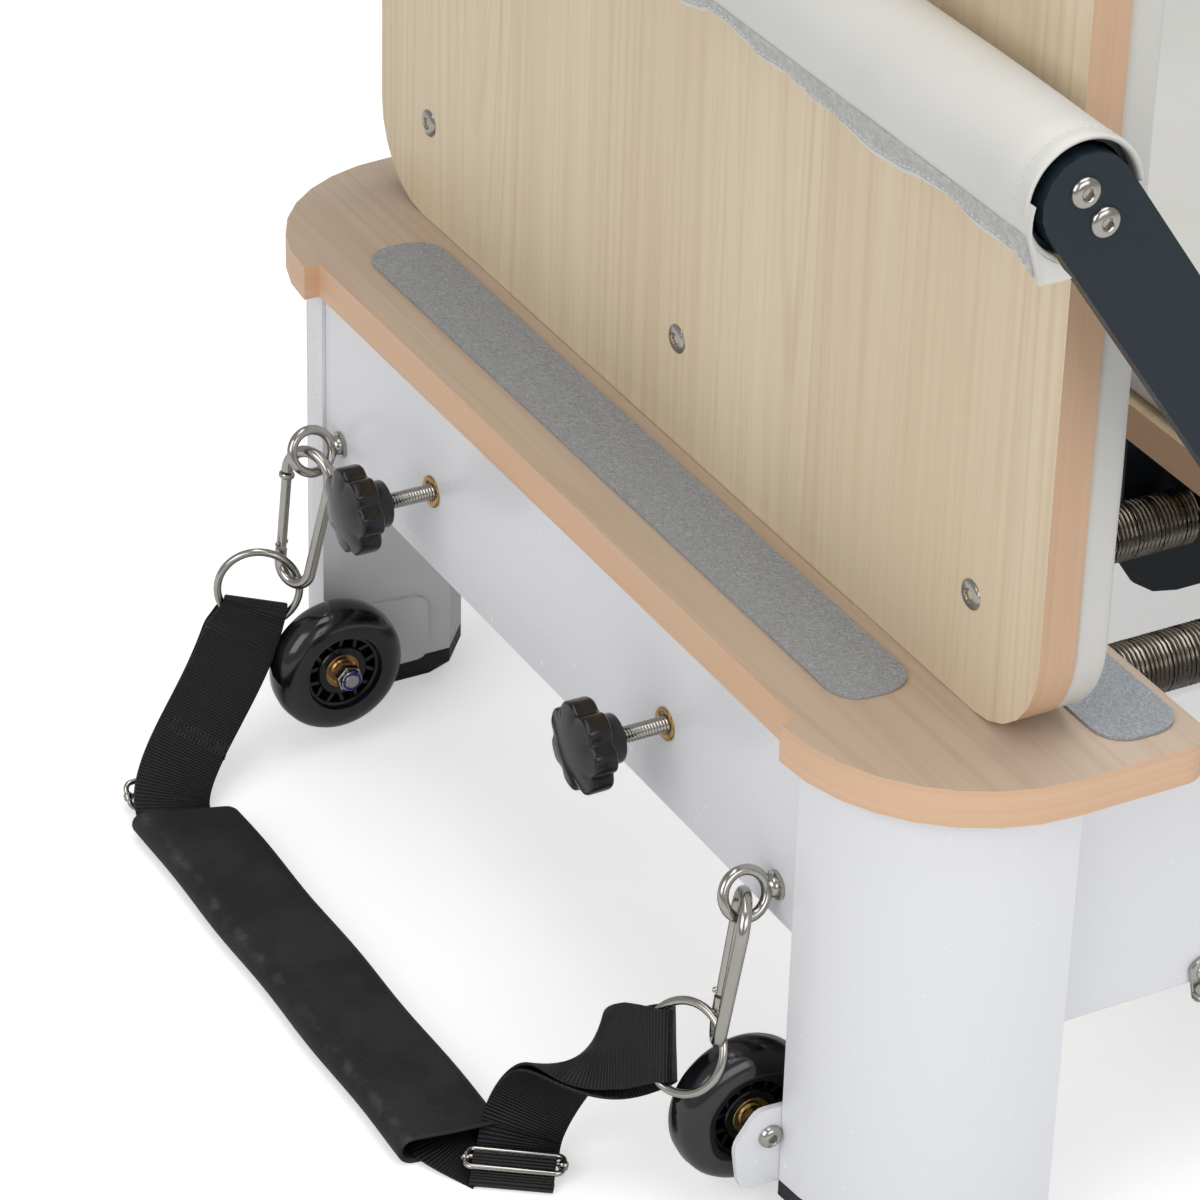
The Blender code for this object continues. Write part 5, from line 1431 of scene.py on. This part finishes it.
def strap_stations(side, tag):
    """Middle line of one hanging strap, ring first, with its width and face directions."""
    _, _, _, centre, spread, pull = hanging(side, tag)
    inside = RING_RADIUS - RING_WIRE - RING_CLEAR
    roll = FOLD_ROLL[tag]
    spread, pull = (spread * math.cos(roll) + pull * math.sin(roll),
                    pull * math.cos(roll) - spread * math.sin(roll))
    fold = centre + pull * (math.sqrt(inside ** 2 - (FOLD_WIDTH / 2 + RING_CLEAR) ** 2) + LOOP_GAP)
    end, lead, level = strap_end(tag)
    drop = Vector(STRAP_DROP[tag])
    drop = (drop - spread * drop.dot(spread)).normalized()
    hold = (fold, fold + drop * STRAP_REACH_UP[tag], end + lead, end)
    stations = []
    for k in range(STATIONS + 1):
        t = k / STATIONS
        ahead = (bezier(*hold, t + 0.01) - bezier(*hold, t - 0.01)).normalized()
        turn = 1 - (1 - t) ** STRAP_TURN[tag]
        turn = turn * turn * (3 - 2 * turn)
        across = spread * (1 - turn) + level * turn * math.copysign(1, spread.x)
        across = (across - ahead * across.dot(ahead)).normalized()
        stations.append((bezier(*hold, t), across, ahead.cross(across)))
    return stations

# %% Two layers round the ring
FOLD_TAPER = 0.018
FOLD_SHIFT = {"left": -0.003, "right": 0.0}
FOLD_TURN_STEPS = 24
LAYER_GAP = 0.0006
LAYER_END = 0.90
LOOP_SPREAD = {"left": 0.0120, "right": 0.0210}
LOOP_RISE = 0.009
LOOP_HOLD = 0.012
LOOP_LENGTH = {"left": 0.066, "right": 0.080}


def loop_offset(distance, widest, length):
    """How far a layer stands off the middle line: round the ring first, closing further down."""
    least = (WEBBING_THICKNESS + LAYER_GAP) / 2
    start = LOOP_GAP + WEBBING_THICKNESS / 2
    share = min(distance / length, 1.0)
    rise = math.sin(math.pi / 2 * min(distance / LOOP_RISE, 1.0))
    closing = min(max((distance - LOOP_HOLD) / (length - LOOP_HOLD), 0.0), 1.0)
    fall = math.cos(math.pi / 2 * closing) ** 2
    return least + (start - least) * (1 - share) ** 2 + max(widest - start, 0.0) * rise * fall


def strap_side(side, tag):
    """Both layers of one hanging strap: up the back layer, over the ring, down the front one."""
    stations = strap_stations(side, tag)
    distances = [0.0]
    for (a, _, _), (b, _, _) in zip(stations, stations[1:]):
        distances.append(distances[-1] + (b - a).length)
    back, front = [], []
    for (place, across, face), distance in zip(stations, distances):
        taper = min(distance / FOLD_TAPER, 1.0)
        width = FOLD_WIDTH + (WEBBING_WIDTH - FOLD_WIDTH) * taper
        place = place + across * FOLD_SHIFT[tag] * taper * math.copysign(1, across.x)
        length = LOOP_LENGTH[tag]
        back.append((place - face * loop_offset(distance, LOOP_SPREAD[tag], length), across, width))
        front.append((place + face * loop_offset(distance, 0.0, length), across, width))
    place, across, face = stations[0]
    ahead = (stations[1][0] - place).normalized()
    radius = LOOP_GAP + WEBBING_THICKNESS / 2
    fold = []
    for k in range(FOLD_TURN_STEPS + 1):
        turn = math.radians(-90 + 180 * k / FOLD_TURN_STEPS)
        way = face * math.sin(turn) - ahead * math.cos(turn)
        fold.append((place + way * radius, across, FOLD_WIDTH))
    cut = int(STATIONS * LAYER_END)
    return list(reversed(back[1:cut])) + fold + front[1:], stations, distances

# %% Band along a route
EDGE_STEPS = 5


def band(route):
    """Closed band through (place, across, width) stations, with its place on the cloth."""
    rings, marks = [], []
    run = 0.0
    edge = WEBBING_THICKNESS / 2
    for i, (place, across, width) in enumerate(route):
        before = route[max(i - 1, 0)][0]
        after = route[min(i + 1, len(route) - 1)][0]
        run += (place - before).length
        ahead = (after - before).normalized()
        across = (across - ahead * across.dot(ahead)).normalized()
        normal = ahead.cross(across)
        half = width / 2 - edge
        section = arc((half, 0), edge, -90, 90, EDGE_STEPS)
        section += arc((-half, 0), edge, 90, 270, EDGE_STEPS)
        section.insert(EDGE_STEPS + 1, (0.0, edge))
        section.append((0.0, -edge))
        rings.append([place + across * u + normal * v for u, v in section])
        marks += [(u / width * WEBBING_WIDTH, run, 0.0) for u, v in section]
    return skin(rings), marks

# %% Through the right buckle
BUCKLE_PASS = ((0.0075, 0.0050), (0.0045, 0.0072), (0.0, 0.0099), (-0.0045, 0.0072),
               (-0.0075, 0.0046), (-0.0110, 0.0036), (-0.0128, 0.0022), (-0.0118, 0.0011),
               (-0.0080, 0.0010))
TURN_REACH = 0.014
TURN_STEPS = 16


def under_buckle():
    """Through the right tri-glide, round under itself, and back to the sleeve's mouth."""
    long_way = Vector(BUCKLE_LONG["right"]).normalized()
    short_way = Vector(BUCKLE_SHORT["right"]).normalized()
    centre = spot(*BUCKLE_AT["right"])
    route = []
    for along, height in BUCKLE_PASS:
        place = centre + short_way * along
        place.z = height
        route.append((place, long_way, WEBBING_WIDTH))
    start = route[-1][0]
    end = spot(SLEEVE_X, SLEEVE_Y[0] + 0.012, WEBBING_Z)
    hold = (start, start + short_way * TURN_REACH, end - Vector((0, TURN_REACH, 0)), end)
    for k in range(1, TURN_STEPS + 1):
        share = k / TURN_STEPS
        across = long_way * (1 - share) + Vector((1, 0, 0)) * share
        route.append((bezier(*hold, share), across, WEBBING_WIDTH))
    return route

# %% The whole webbing
INSIDE_Y = (SLEEVE_Y[1] - 0.010, SLEEVE_Y[0] + 0.014)
INSIDE_STEPS = 10


def webbing_route():
    """Left strap, the run inside the sleeve, the right buckle, and the right strap."""
    left, _, _ = strap_side(1, "left")
    right, _, _ = strap_side(-1, "right")
    inside = []
    for k in range(INSIDE_STEPS + 1):
        y = INSIDE_Y[0] + (INSIDE_Y[1] - INSIDE_Y[0]) * k / INSIDE_STEPS
        inside.append((spot(SLEEVE_X, y, WEBBING_Z), Vector((1, 0, 0)), WEBBING_WIDTH))
    route = left + inside + list(reversed(under_buckle())) + list(reversed(right))
    for i in range(1, len(route)):
        place, across, width = route[i]
        if across.dot(route[i - 1][1]) < 0:
            route[i] = (place, -across, width)
    return route


shell, marks = band(webbing_route())
Form().add(shell, marks).build("foot_webbing", WEBBING, "foot_strap", "black_webbing", ["strap_webbing"])

# %% [markdown]
# A bar tack is a dense row of zigzag stitches across the band, and it holds the turned end.
# It is sewn with the stitch tree, along a zigzag that lies on the front layer.

# %% Bar tacks
TACK_AT = {"left": (0.52, 0.575), "right": (0.74, 0.79)}
TACK_TURNS = 34


def tack_path(side, tag, start, end):
    """Zigzag across the front layer between two shares of the strap's length."""
    _, stations, _ = strap_side(side, tag)
    path = []
    for k in range(TACK_TURNS + 1):
        share = start if k % 2 else end
        place, across, face = stations[int(share * STATIONS)]
        off = (WEBBING_THICKNESS + LAYER_GAP) / 2 + WEBBING_THICKNESS / 2 + 0.0001
        lateral = (k / TACK_TURNS - 0.5) * (WEBBING_WIDTH - 0.006)
        path.append(place + face * off + across * lateral)
    return path


tacks = [tack_path(side, tag, *TACK_AT[tag]) for side, tag in SIDES]
sew("strap_bar_tacks", tacks, BLACK_THREAD, "foot_strap", "black_webbing",
    pitch=0.0016, size=(0.0010, 0.00028, 0.00028))

# %% [markdown]
# ## Tri-glide buckles
# Each strap's free length is set with a tri-glide of 2.8 mm wire: a rounded rectangle with a
# middle bar, its ends hooked round the frame. The right one lies flat at the sleeve's mouth,
# and the left one stands nearly on edge behind the strap.

# %% Buckles
GLIDE_LONG = 0.044
GLIDE_SHORT = 0.013
GLIDE_WIRE = 0.0014
GLIDE_CORNER = 0.0035


def make_buckle(tag, centre, long_way, short_way):
    """Frame, middle bar and the two knuckles that hold the bar."""
    long_way = long_way.normalized()
    short_way = (short_way - long_way * short_way.dot(long_way)).normalized()
    half_long = GLIDE_LONG / 2 - GLIDE_CORNER
    half_short = GLIDE_SHORT / 2 - GLIDE_CORNER
    frame = []
    for su, sv, start in ((1, 1, 0), (-1, 1, 90), (-1, -1, 180), (1, -1, 270)):
        frame += arc((su * half_long, sv * half_short), GLIDE_CORNER, start, start + 90, 8)
    path = [centre + long_way * u + short_way * v for u, v in frame]
    form = Form().add(wire(path, GLIDE_WIRE, 14, loop=True))
    lift = long_way.cross(short_way).normalized() * GLIDE_WIRE * 0.4
    bar = [centre + long_way * (GLIDE_LONG / 2 * share) + lift for share in (-1.02, -0.5, 0, 0.5, 1.02)]
    form.add(wire(bar, GLIDE_WIRE * 0.85, 12))
    for sign in (-1, 1):
        end = centre + long_way * GLIDE_LONG / 2 * sign
        knuckle = [(-0.002, 0), (-0.002, 0.0017), (-0.0013, 0.0023), (0.0013, 0.0023), (0.002, 0.0017),
                   (0.002, 0)]
        form.add(turned(knuckle, end, short_way, 18))
    form.build(f"strap_buckle_{tag}", NICKEL, "foot_strap", "bright_steel")


for side, tag in SIDES:
    make_buckle(tag, spot(*BUCKLE_AT[tag]), Vector(BUCKLE_LONG[tag]), Vector(BUCKLE_SHORT[tag]))

# %% [markdown]
# ## Padded sleeve
# The foot presses on a flat tube of black leathercloth round the webbing. It is swept along
# its length, so its section can sag and its ends can be cut on the slant. Both cut ends are
# rolled over, and one long edge is coloured paler grey in patches.

# %% Section of the sleeve
SLEEVE_WIDTH = 0.051
SLEEVE_HEIGHT = 0.015
SLEEVE_WALL = 0.0025
FLAT_STEPS = 6
ROUND_STEPS = 14


def sleeve_section(width, height):
    """Flat oval: two straight sides and two half circles."""
    radius = height / 2
    flat = width / 2 - radius
    section = []
    for k in range(FLAT_STEPS + 1):
        section.append((flat * (2 * k / FLAT_STEPS - 1), -radius))
    section += arc((flat, 0), radius, -90, 90, ROUND_STEPS)[1:]
    for k in range(1, FLAT_STEPS + 1):
        section.append((flat * (1 - 2 * k / FLAT_STEPS), radius))
    section += arc((-flat, 0), radius, 90, 270, ROUND_STEPS)[1:-1]
    return section

# %% Sleeve
SLEEVE_SLANT = {"left": -0.35, "right": -0.15}
SLEEVE_ROWS = 90
SLEEVE_LIES = 0.0078
BORE_ROWS = 30
ROLLED_LIP = 0.003


def sleeve_shell():
    """Outer skin out to one end, and the bore back again, so both mouths are rolled edges."""
    middle = sum(SLEEVE_Y) / 2
    inner = (SLEEVE_WIDTH - 2 * SLEEVE_WALL, SLEEVE_HEIGHT - 2 * SLEEVE_WALL)
    outer = (SLEEVE_WIDTH, SLEEVE_HEIGHT)
    halfway = (SLEEVE_WIDTH - SLEEVE_WALL, SLEEVE_HEIGHT - SLEEVE_WALL)
    runs = [(k / SLEEVE_ROWS, outer) for k in range(SLEEVE_ROWS + 1)]
    runs.append((1 + ROLLED_LIP, halfway))
    runs += [(1 - k / BORE_ROWS, inner) for k in range(BORE_ROWS + 1)]
    runs.append((-ROLLED_LIP, halfway))
    rings, marks = [], []
    for share, (width, height) in runs:
        y = SLEEVE_Y[0] + (SLEEVE_Y[1] - SLEEVE_Y[0]) * share
        ring = []
        for u, v in sleeve_section(width, height):
            slant = SLEEVE_SLANT["left" if y > middle else "right"]
            near_end = min(abs(y - middle) / (SLEEVE_Y[1] - middle), 1.0) ** 6
            sag = 0.0006 * math.sin(y * 47 + 1.0) * (1 - abs(u) / (SLEEVE_WIDTH / 2)) * (v > 0)
            edge = 0.0005 * math.sin(y * 61 + 0.4)
            level = SLEEVE_LIES + v - abs(sag)
            ring.append(spot(SLEEVE_X + u + edge, y + u * slant * near_end, level))
            marks.append((u, y, v))
        rings.append(ring)
    return skin(rings, loop=True), marks


shell, marks = sleeve_shell()
Form().add(shell, marks).build("foot_sleeve", LEATHERCLOTH, "foot_strap", "black_rubber",
                               ["strap_sleeve"], sharp=50)

# %% [markdown]
# ## Transport wheels
# The wheels are skate wheels: a cast tyre, a moulded hub with forked spokes, and a bearing
# with a yellow shield in each side. The tyre and hub rings are turned. The spokes are thin
# wedges between hub and rim, made in a loop. Each wheel turns on its axle, so its tyre, hub
# and bearings ride on the wheel's own body, and the axle with its nut stays on the frame's.

# %% Section of the tyre
WHEEL_RADIUS = 0.035
WHEEL_WIDTH = 0.024
TYRE_ROUND = (0.009, 0.0112)
TYRE_CENTRE = 0.0115


def tyre_profile():
    """Half an oval on each side of the tread, down to the hub's rim."""
    half = WHEEL_WIDTH / 2
    profile = [(0, WHEEL_RADIUS)]
    for degrees in range(15, 106, 15):
        angle = math.radians(degrees)
        profile.append((half - TYRE_ROUND[0] + TYRE_ROUND[0] * math.sin(angle),
                        WHEEL_RADIUS - TYRE_CENTRE + TYRE_ROUND[1] * math.cos(angle)))
    profile += [(half - 0.0012, 0.0205), (half - 0.0030, 0.0198)]
    mirrored = [(-along, radius) for along, radius in reversed(profile[1:])]
    return profile + mirrored

# %% Hub and spokes
SPOKES = 7
FORK_INNER = (0.10, 0.0125, 0.0011, 0.0072)
FORK_OUTER = (0.25, 0.0188, 0.0009, 0.0078)


def wheel_hub(form, centre):
    """Rim, boss and thin web, with a forked pair of wedges for each spoke."""
    rim = [(-0.0085, 0.0202), (0.0085, 0.0202), (0.0090, 0.0196), (0.0085, 0.0182), (-0.0085, 0.0182),
           (-0.0090, 0.0196)]
    form.add(turned(rim, centre, (0, 1, 0), 72))
    boss = [(-0.0085, 0.0094), (-0.0085, 0.0128), (-0.0078, 0.0134), (0.0078, 0.0134),
            (0.0085, 0.0128), (0.0085, 0.0094)]
    form.add(turned(boss, centre, (0, 1, 0), 60))
    web = [(-0.0015, 0.0120), (-0.0015, 0.0190), (0.0015, 0.0190), (0.0015, 0.0120)]
    form.add(turned(web, centre, (0, 1, 0), 60))
    for k in range(SPOKES):
        middle = 2 * math.pi * k / SPOKES
        for fork in (-1, 1):
            ends = []
            for spread, radius, half, depth in (FORK_INNER, FORK_OUTER):
                angle = middle + fork * spread
                way = Vector((math.cos(angle), 0, math.sin(angle)))
                side = Vector((-math.sin(angle), 0, math.cos(angle)))
                ring = [centre + way * radius + side * half * u + Vector((0, depth * v, 0))
                        for u, v in ((-1, -1), (1, -1), (1, 1), (-1, 1))]
                ends.append(ring)
            form.add(skin(ends))

# %% Wheels with their bearings
WHEEL = (-0.0035, 0.045)
WHEEL_Y = 0.207
BEARING_AT = 0.0072


def bearing(form, centre, out):
    """Outer race, pressed shield and inner race on one side of the wheel."""
    race = [(0, 0.0070), (0, 0.0093), (0.0010, 0.0093), (0.0013, 0.0090), (0.0013, 0.0084),
            (0.0006, 0.0080), (0.0004, 0.0064), (0.0010, 0.0060), (0.0014, 0.0056), (0.0014, 0.0044),
            (0, 0.0044)]
    form.add(turned(race, centre + out * BEARING_AT, out, 60))


def make_wheel(side, tag):
    """Tyre, hub and bearings, each a piece on the wheel's own body."""
    centre = spot(WHEEL[0], side * WHEEL_Y, WHEEL[1])
    Form().add(turned(tyre_profile(), centre, (0, 1, 0), 120)).build(
        f"wheel_tyre_{tag}", TYRE, f"wheel_{tag}", "black_rubber", [f"transport_wheel_{tag}"], sharp=30)
    form = Form()
    wheel_hub(form, centre)
    form.build(f"wheel_hub_{tag}", BLACK_PLASTIC, f"wheel_{tag}", "black_plastic", sharp=30)
    form = Form()
    for way in (-1, 1):
        bearing(form, centre, Vector((0, way, 0)))
    form.build(f"wheel_bearings_{tag}", BRASS, f"wheel_{tag}", "bright_steel", sharp=30)

# %% Axles
HEX_STARTS = 0.0041


def hexed(along, radius, angle):
    """Six flats on the outside, a round bore inside."""
    return six_sided(radius, angle) if radius > HEX_STARTS else radius


def make_axle(side, tag):
    """Bolt through the bracket, hex spacers, and the locking nut with its blue collar."""
    out = Vector((0, side, 0))
    centre = spot(WHEEL[0], side * WHEEL_Y, WHEEL[1])
    form = Form()
    bolt = [(-0.0200, 0), (-0.0200, 0.0034), (-0.0196, 0.0038), (0.0245, 0.0038), (0.0245, 0)]
    form.add(turned(bolt, centre, out, 30))
    spacer = [(-0.0130, 0.0040), (-0.0130, 0.0052), (-0.0092, 0.0052), (-0.0092, 0.0040)]
    form.add(turned(spacer, centre, out, 36, hexed))
    outer_spacer = [(0.0092, 0.0040), (0.0092, 0.0052), (0.0212, 0.0052), (0.0212, 0.0040)]
    form.add(turned(outer_spacer, centre, out, 36, hexed))
    nut = [(-0.0132, 0.0040), (-0.0132, 0.0058), (-0.0136, 0.0062), (-0.0170, 0.0062),
           (-0.0174, 0.0058), (-0.0174, 0.0040)]
    form.add(turned(nut, centre, out, 36, hexed))
    cap = [(-0.0174, 0.0052), (-0.0182, 0.0058), (-0.0192, 0.0056), (-0.0196, 0.0051), (-0.0190, 0.0049),
           (-0.0174, 0.0049)]
    form.add(turned(cap, centre, out, 36))
    form.build(f"wheel_axle_fine_{tag}", NICKEL, "foot_frame", "zinc_steel", [f"wheel_axle_{tag}"],
               sharp=30)
    collar = [(-0.0178, 0.0039), (-0.0190, 0.0039), (-0.0193, 0.0042), (-0.0193, 0.0047), (-0.0190, 0.0049),
              (-0.0178, 0.0049)]
    Form().add(turned(collar, centre, out, 36)).build(
        f"nut_collar_{tag}", BLUE_NYLON, "foot_frame", "black_plastic", sharp=30)


for side, tag in SIDES:
    make_wheel(side, tag)
    make_axle(side, tag)

# %% [markdown]
# ## Star knobs
# Each knob is moulded with seven lobes round a hub, and its plated stud is threaded for its
# whole length. The lobed outline is a formula, repeated at a few heights with a rounded edge.
# The thread is a turned rod whose radius rises and falls with the angle as well as the
# length, which gives a true helix. A yellow insert with a thin flange is set in the beam.

# %% Lobed moulding
KNOB_Y = 0.115
KNOB_Z = 0.1907
KNOB_RADIUS = 0.0215
KNOB_STEPS = 210
KNOB_EDGE = 0.0016
KNOB_DOME = 0.003
LOBES = 7
LOBE_DEPTH = 0.0015
LOBES_FROM = 0.55
HUB_X = -0.021
STAR_X = -0.031
STAR_THICK = 0.012
STUD_RADIUS = 0.004


def lobed(along, radius, angle):
    """Knob outline: full at the lobes, drawn in between them by rounded hollows."""
    share = max((radius - KNOB_RADIUS * LOBES_FROM) / (KNOB_RADIUS * (1 - LOBES_FROM)), 0.0)
    wave = math.cos(angle * LOBES)
    hollow = (0.5 - 0.5 * wave) ** 2.4
    return radius - 2 * LOBE_DEPTH * hollow * share


def knob_profile():
    """Hub, underside, rounded rim and domed top, as (along, radius) pairs."""
    start = HUB_X - STAR_X
    end = start + STAR_THICK
    profile = [(0.0004, STUD_RADIUS + 0.0003), (0.0, 0.0100), (0.0006, 0.0112), (0.0012, 0.0115),
               (start, 0.0115), (start, KNOB_RADIUS - KNOB_EDGE)]
    for degrees in (30, 60, 90):
        angle = math.radians(degrees)
        profile.append((start + KNOB_EDGE * (1 - math.cos(angle)),
                        KNOB_RADIUS - KNOB_EDGE * (1 - math.sin(angle))))
    for degrees in (0, 25, 50, 75, 90):
        angle = math.radians(degrees)
        profile.append((end - KNOB_EDGE * (1 - math.sin(angle)),
                        KNOB_RADIUS - KNOB_EDGE * (1 - math.cos(angle))))
    for radius in (0.0185, 0.0155, 0.012, 0.008, 0.004):
        profile.append((end + KNOB_DOME * (1 - (radius / 0.0195) ** 2), radius))
    return profile + [(end + KNOB_DOME, 0.0), (0.0004, 0.0)]


def make_moulding(side, tag):
    at = spot(HUB_X, side * KNOB_Y, KNOB_Z)
    Form().add(turned(knob_profile(), at, (-1, 0, 0), KNOB_STEPS, lobed)).build(
        f"knob_moulding_{tag}", BLACK_PLASTIC, f"knob_{tag}", "black_plastic", [f"star_knob_{tag}"],
        sharp=28)

# %% Threaded studs
THREAD_PITCH = 0.0015
THREAD_DEPTH = 0.0007
THREAD_ROWS = 6
STUD_LENGTH = 0.046


def threaded(along, radius, angle):
    """Radius of a rod with a helical groove."""
    if radius == 0.0:
        return 0.0
    phase = (along / THREAD_PITCH - angle / (2 * math.pi)) % 1.0
    return radius - THREAD_DEPTH * abs(2 * phase - 1)


def make_stud(side, tag):
    """Rod with enough rows along each turn of its thread, from the hub into the beam."""
    at = spot(HUB_X, side * KNOB_Y, KNOB_Z)
    rows = int(STUD_LENGTH / THREAD_PITCH * THREAD_ROWS)
    rod = [(-STUD_LENGTH, 0.0)]
    rod += [(-STUD_LENGTH + STUD_LENGTH * k / rows, STUD_RADIUS) for k in range(rows + 1)]
    rod.append((0.0, 0.0))
    Form().add(turned(rod, at, (-1, 0, 0), 28, threaded)).build(
        f"knob_stud_{tag}", NICKEL, f"knob_{tag}", "zinc_steel", sharp=60)

# %% Inserts in the beam, and both knobs
FLANGE = ((-0.004, 0.0046), (-0.004, 0.0060), (0.0, 0.0060), (0.0, 0.0080), (0.0007, 0.0079),
          (0.0011, 0.0074), (0.0012, 0.0060), (0.0009, 0.0052), (0.0004, 0.0046))


def make_insert(side, tag):
    face = spot(BEAM_FACE_X - 0.0002, side * KNOB_Y, KNOB_Z)
    Form().add(turned(FLANGE, face, (-1, 0, 0), 48)).build(
        f"beam_insert_{tag}", BRASS, "foot_frame", "zinc_steel", sharp=30)


for side, tag in SIDES:
    make_moulding(side, tag)
    make_stud(side, tag)
    make_insert(side, tag)

# %% [markdown]
# ## Springs
# The carriage is drawn back by close-wound extension springs. The coil tree winds each one,
# and a hooked end runs from the last turn to the bar it hangs on. The springs stretch as the
# carriage rolls away; here they ride on no body and keep the places they are built in.

# %% Hooked ends of a spring
SPRING_Z = 0.220
HOOK_ROOM = 0.010
HOOK_STEPS = 12


def spring_end(x, y, inward, radius):
    """Wire from the bar up to the coil's outside in a smooth hook."""
    points = []
    for k in range(HOOK_STEPS + 1):
        share = k / HOOK_STEPS
        lift = radius * (0.5 - 0.5 * math.cos(math.pi * share))
        points.append(spot(x + inward * HOOK_ROOM * share, y, SPRING_Z + lift))
    return points

# %% Close-wound springs
SPRING_RADIUS = 0.014
SPRING_WIRE = 0.0023
SPRING_PITCH = SPRING_WIRE * 1.03
SPRING_SPACING = 0.1035
ANCHOR_X = 0.1243
HOOK_X = {"inner": 0.2957, "outer": 0.4797}


def make_springs(kind, numbers):
    """Coils and hooks of several springs, as one piece that rides on no body."""
    form = Form()
    radius = SPRING_RADIUS - SPRING_WIRE / 2
    start, end = ANCHOR_X + HOOK_ROOM, HOOK_X[kind] - HOOK_ROOM
    turns = int((end - start) / SPRING_PITCH)
    for number in numbers:
        y = (3 - number) * SPRING_SPACING
        form.add_grown(COIL.grow("coil", {
            "Turns": float(turns), "Radius": radius, "Length": end - start,
            "Wire": SPRING_WIRE / 2, "Place": tuple(spot(start, y, SPRING_Z))}))
        form.add(wire(spring_end(ANCHOR_X, y, 1, radius), SPRING_WIRE / 2, 8))
        form.add(wire(spring_end(HOOK_X[kind], y, -1, radius), SPRING_WIRE / 2, 8))
    nodes = [f"spring_{number}" for number in numbers]
    obj = form.build(f"springs_{kind}", SPRING_STEEL, None, "bright_steel", nodes, sharp=60)
    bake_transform(obj)


make_springs("inner", (2, 3, 4))
make_springs("outer", (1, 5))

# %% [markdown]
# ## Screws and bolts
# The screws are alike: low domed heads with a hex socket, in a few sizes. One template head of
# each size is turned, with the socket's wall following a hexagon, and the copies tree sets it
# wherever a screw goes.

# %% Section of a screw head
def screw_profile(radius, height, socket):
    """Dome, socket wall and socket floor; the socket's radii are what make it a hexagon."""
    profile = [(-0.0012, 0.0), (-0.0012, radius * 0.9), (0.0, radius)]
    for angle in (20, 40, 60):
        turn = math.radians(angle)
        profile.append((height * math.sin(turn), radius - (radius - socket * 1.35) * (1 - math.cos(turn))))
    profile += [(height, socket * 1.30), (height - 0.0002, socket * 1.12), (height - 0.0004, socket),
                (height - 0.0018, socket), (height - 0.0020, 0.0)]
    return profile

# %% Copies of a screw head
def screws(name, points, axis, radius, height, socket, material, body):
    """Copies of one head at several points, all facing along one axis."""

    def shape(along, reach, angle):
        """Only the socket's own radius turns into a hexagon."""
        return six_sided(reach, angle) if reach == socket else reach

    shell = turned(screw_profile(radius, height, socket), (0, 0, 0), axis, 48, shape)
    mesh = bpy.data.meshes.new(name + " template")
    mesh.from_pydata([tuple(point) for point in shell[0]], [], shell[1])
    template = bpy.data.objects.new(name + " template", mesh)
    bpy.context.scene.collection.objects.link(template)
    grown = COPIES.grow(name, {"Template": template}, points)
    bpy.data.objects.remove(template)
    obj = finish_mesh(name, grown, material, 30)
    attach(obj, body)
    print(name, "heads:", len(points))

# %% Bolts and screws in their places
JUMP_BOLTS = [spot(0.0694, y, 0.313) for y in (-0.250, 0.0, 0.250)]
ARM_FACE_Y = 0.3561
ARM_SCREWS = ((0.035, 0.5527), (0.045, 0.5384))
BRACKET_FACE_Y = 0.2318
screws("jump_board_bolts", JUMP_BOLTS, (-1, 0, 0), radius=0.0070, height=0.0016, socket=0.0025,
       material=NICKEL, body="jump_board")
for side, tag in SIDES:
    arm_points = [spot(x, side * ARM_FACE_Y, z) for x, z in ARM_SCREWS]
    screws(f"arm_screws_{tag}", arm_points, (0, side, 0), radius=0.0066, height=0.0022, socket=0.0024,
           material=NICKEL, body="foot_bar")
    bolt_point = spot(WHEEL[0], side * BRACKET_FACE_Y, WHEEL[1])
    screws(f"bracket_bolt_{tag}", [bolt_point], (0, side, 0), radius=0.0058, height=0.0034, socket=0.0020,
           material=NICKEL, body="foot_frame")

# %% [markdown]
# ## Pad eyes
# A small steel pad eye is screwed to the outer face of each side rail, near its front end. It
# is a pressed plate with a raised loop, hung from one screw.

# %% Pad eyes
PAD_EYE = (0.170, 0.3004, 0.123)
PLATE_RADIUS = 0.0075
PLATE_THICK = 0.0022
LOOP_STEPS = 14


def make_pad_eye(side, tag):
    """Pressed plate, raised loop, and the screw that holds them."""
    face = spot(PAD_EYE[0], side * PAD_EYE[1], PAD_EYE[2])
    out = Vector((0, side, 0))
    outline = arc((0.0, 0.0), PLATE_RADIUS, 20, 160, 10)
    outline += arc((0.001, -0.011), 0.0055, 190, 350, 12)
    rings = []
    for inset, depth in ((0.0006, 0.0), (0.0, 0.0006), (0.0, 0.0016), (0.0006, PLATE_THICK)):
        ring = []
        for u, v in outline:
            shrink = 1 - inset / PLATE_RADIUS
            ring.append(face + Vector((u * shrink, 0, v * shrink)) + out * depth)
        rings.append(ring)
    form = Form().add(skin(rings))
    loop = []
    for k in range(LOOP_STEPS + 1):
        angle = math.pi * k / LOOP_STEPS
        loop.append(face + Vector((0.0005 - 0.0045 * math.cos(angle), 0, -0.011))
                    + out * (0.002 + 0.0060 * math.sin(angle)))
    form.add(wire(loop, 0.0015, 12))
    form.build(f"pad_eye_{tag}", NICKEL, "foot_frame", "zinc_steel")
    screws(f"pad_eye_screw_{tag}", [face + out * PLATE_THICK], (0, side, 0), radius=0.0038,
           height=0.0014, socket=0.0014, material=ZINC, body="foot_frame")


for side, tag in SIDES:
    make_pad_eye(side, tag)
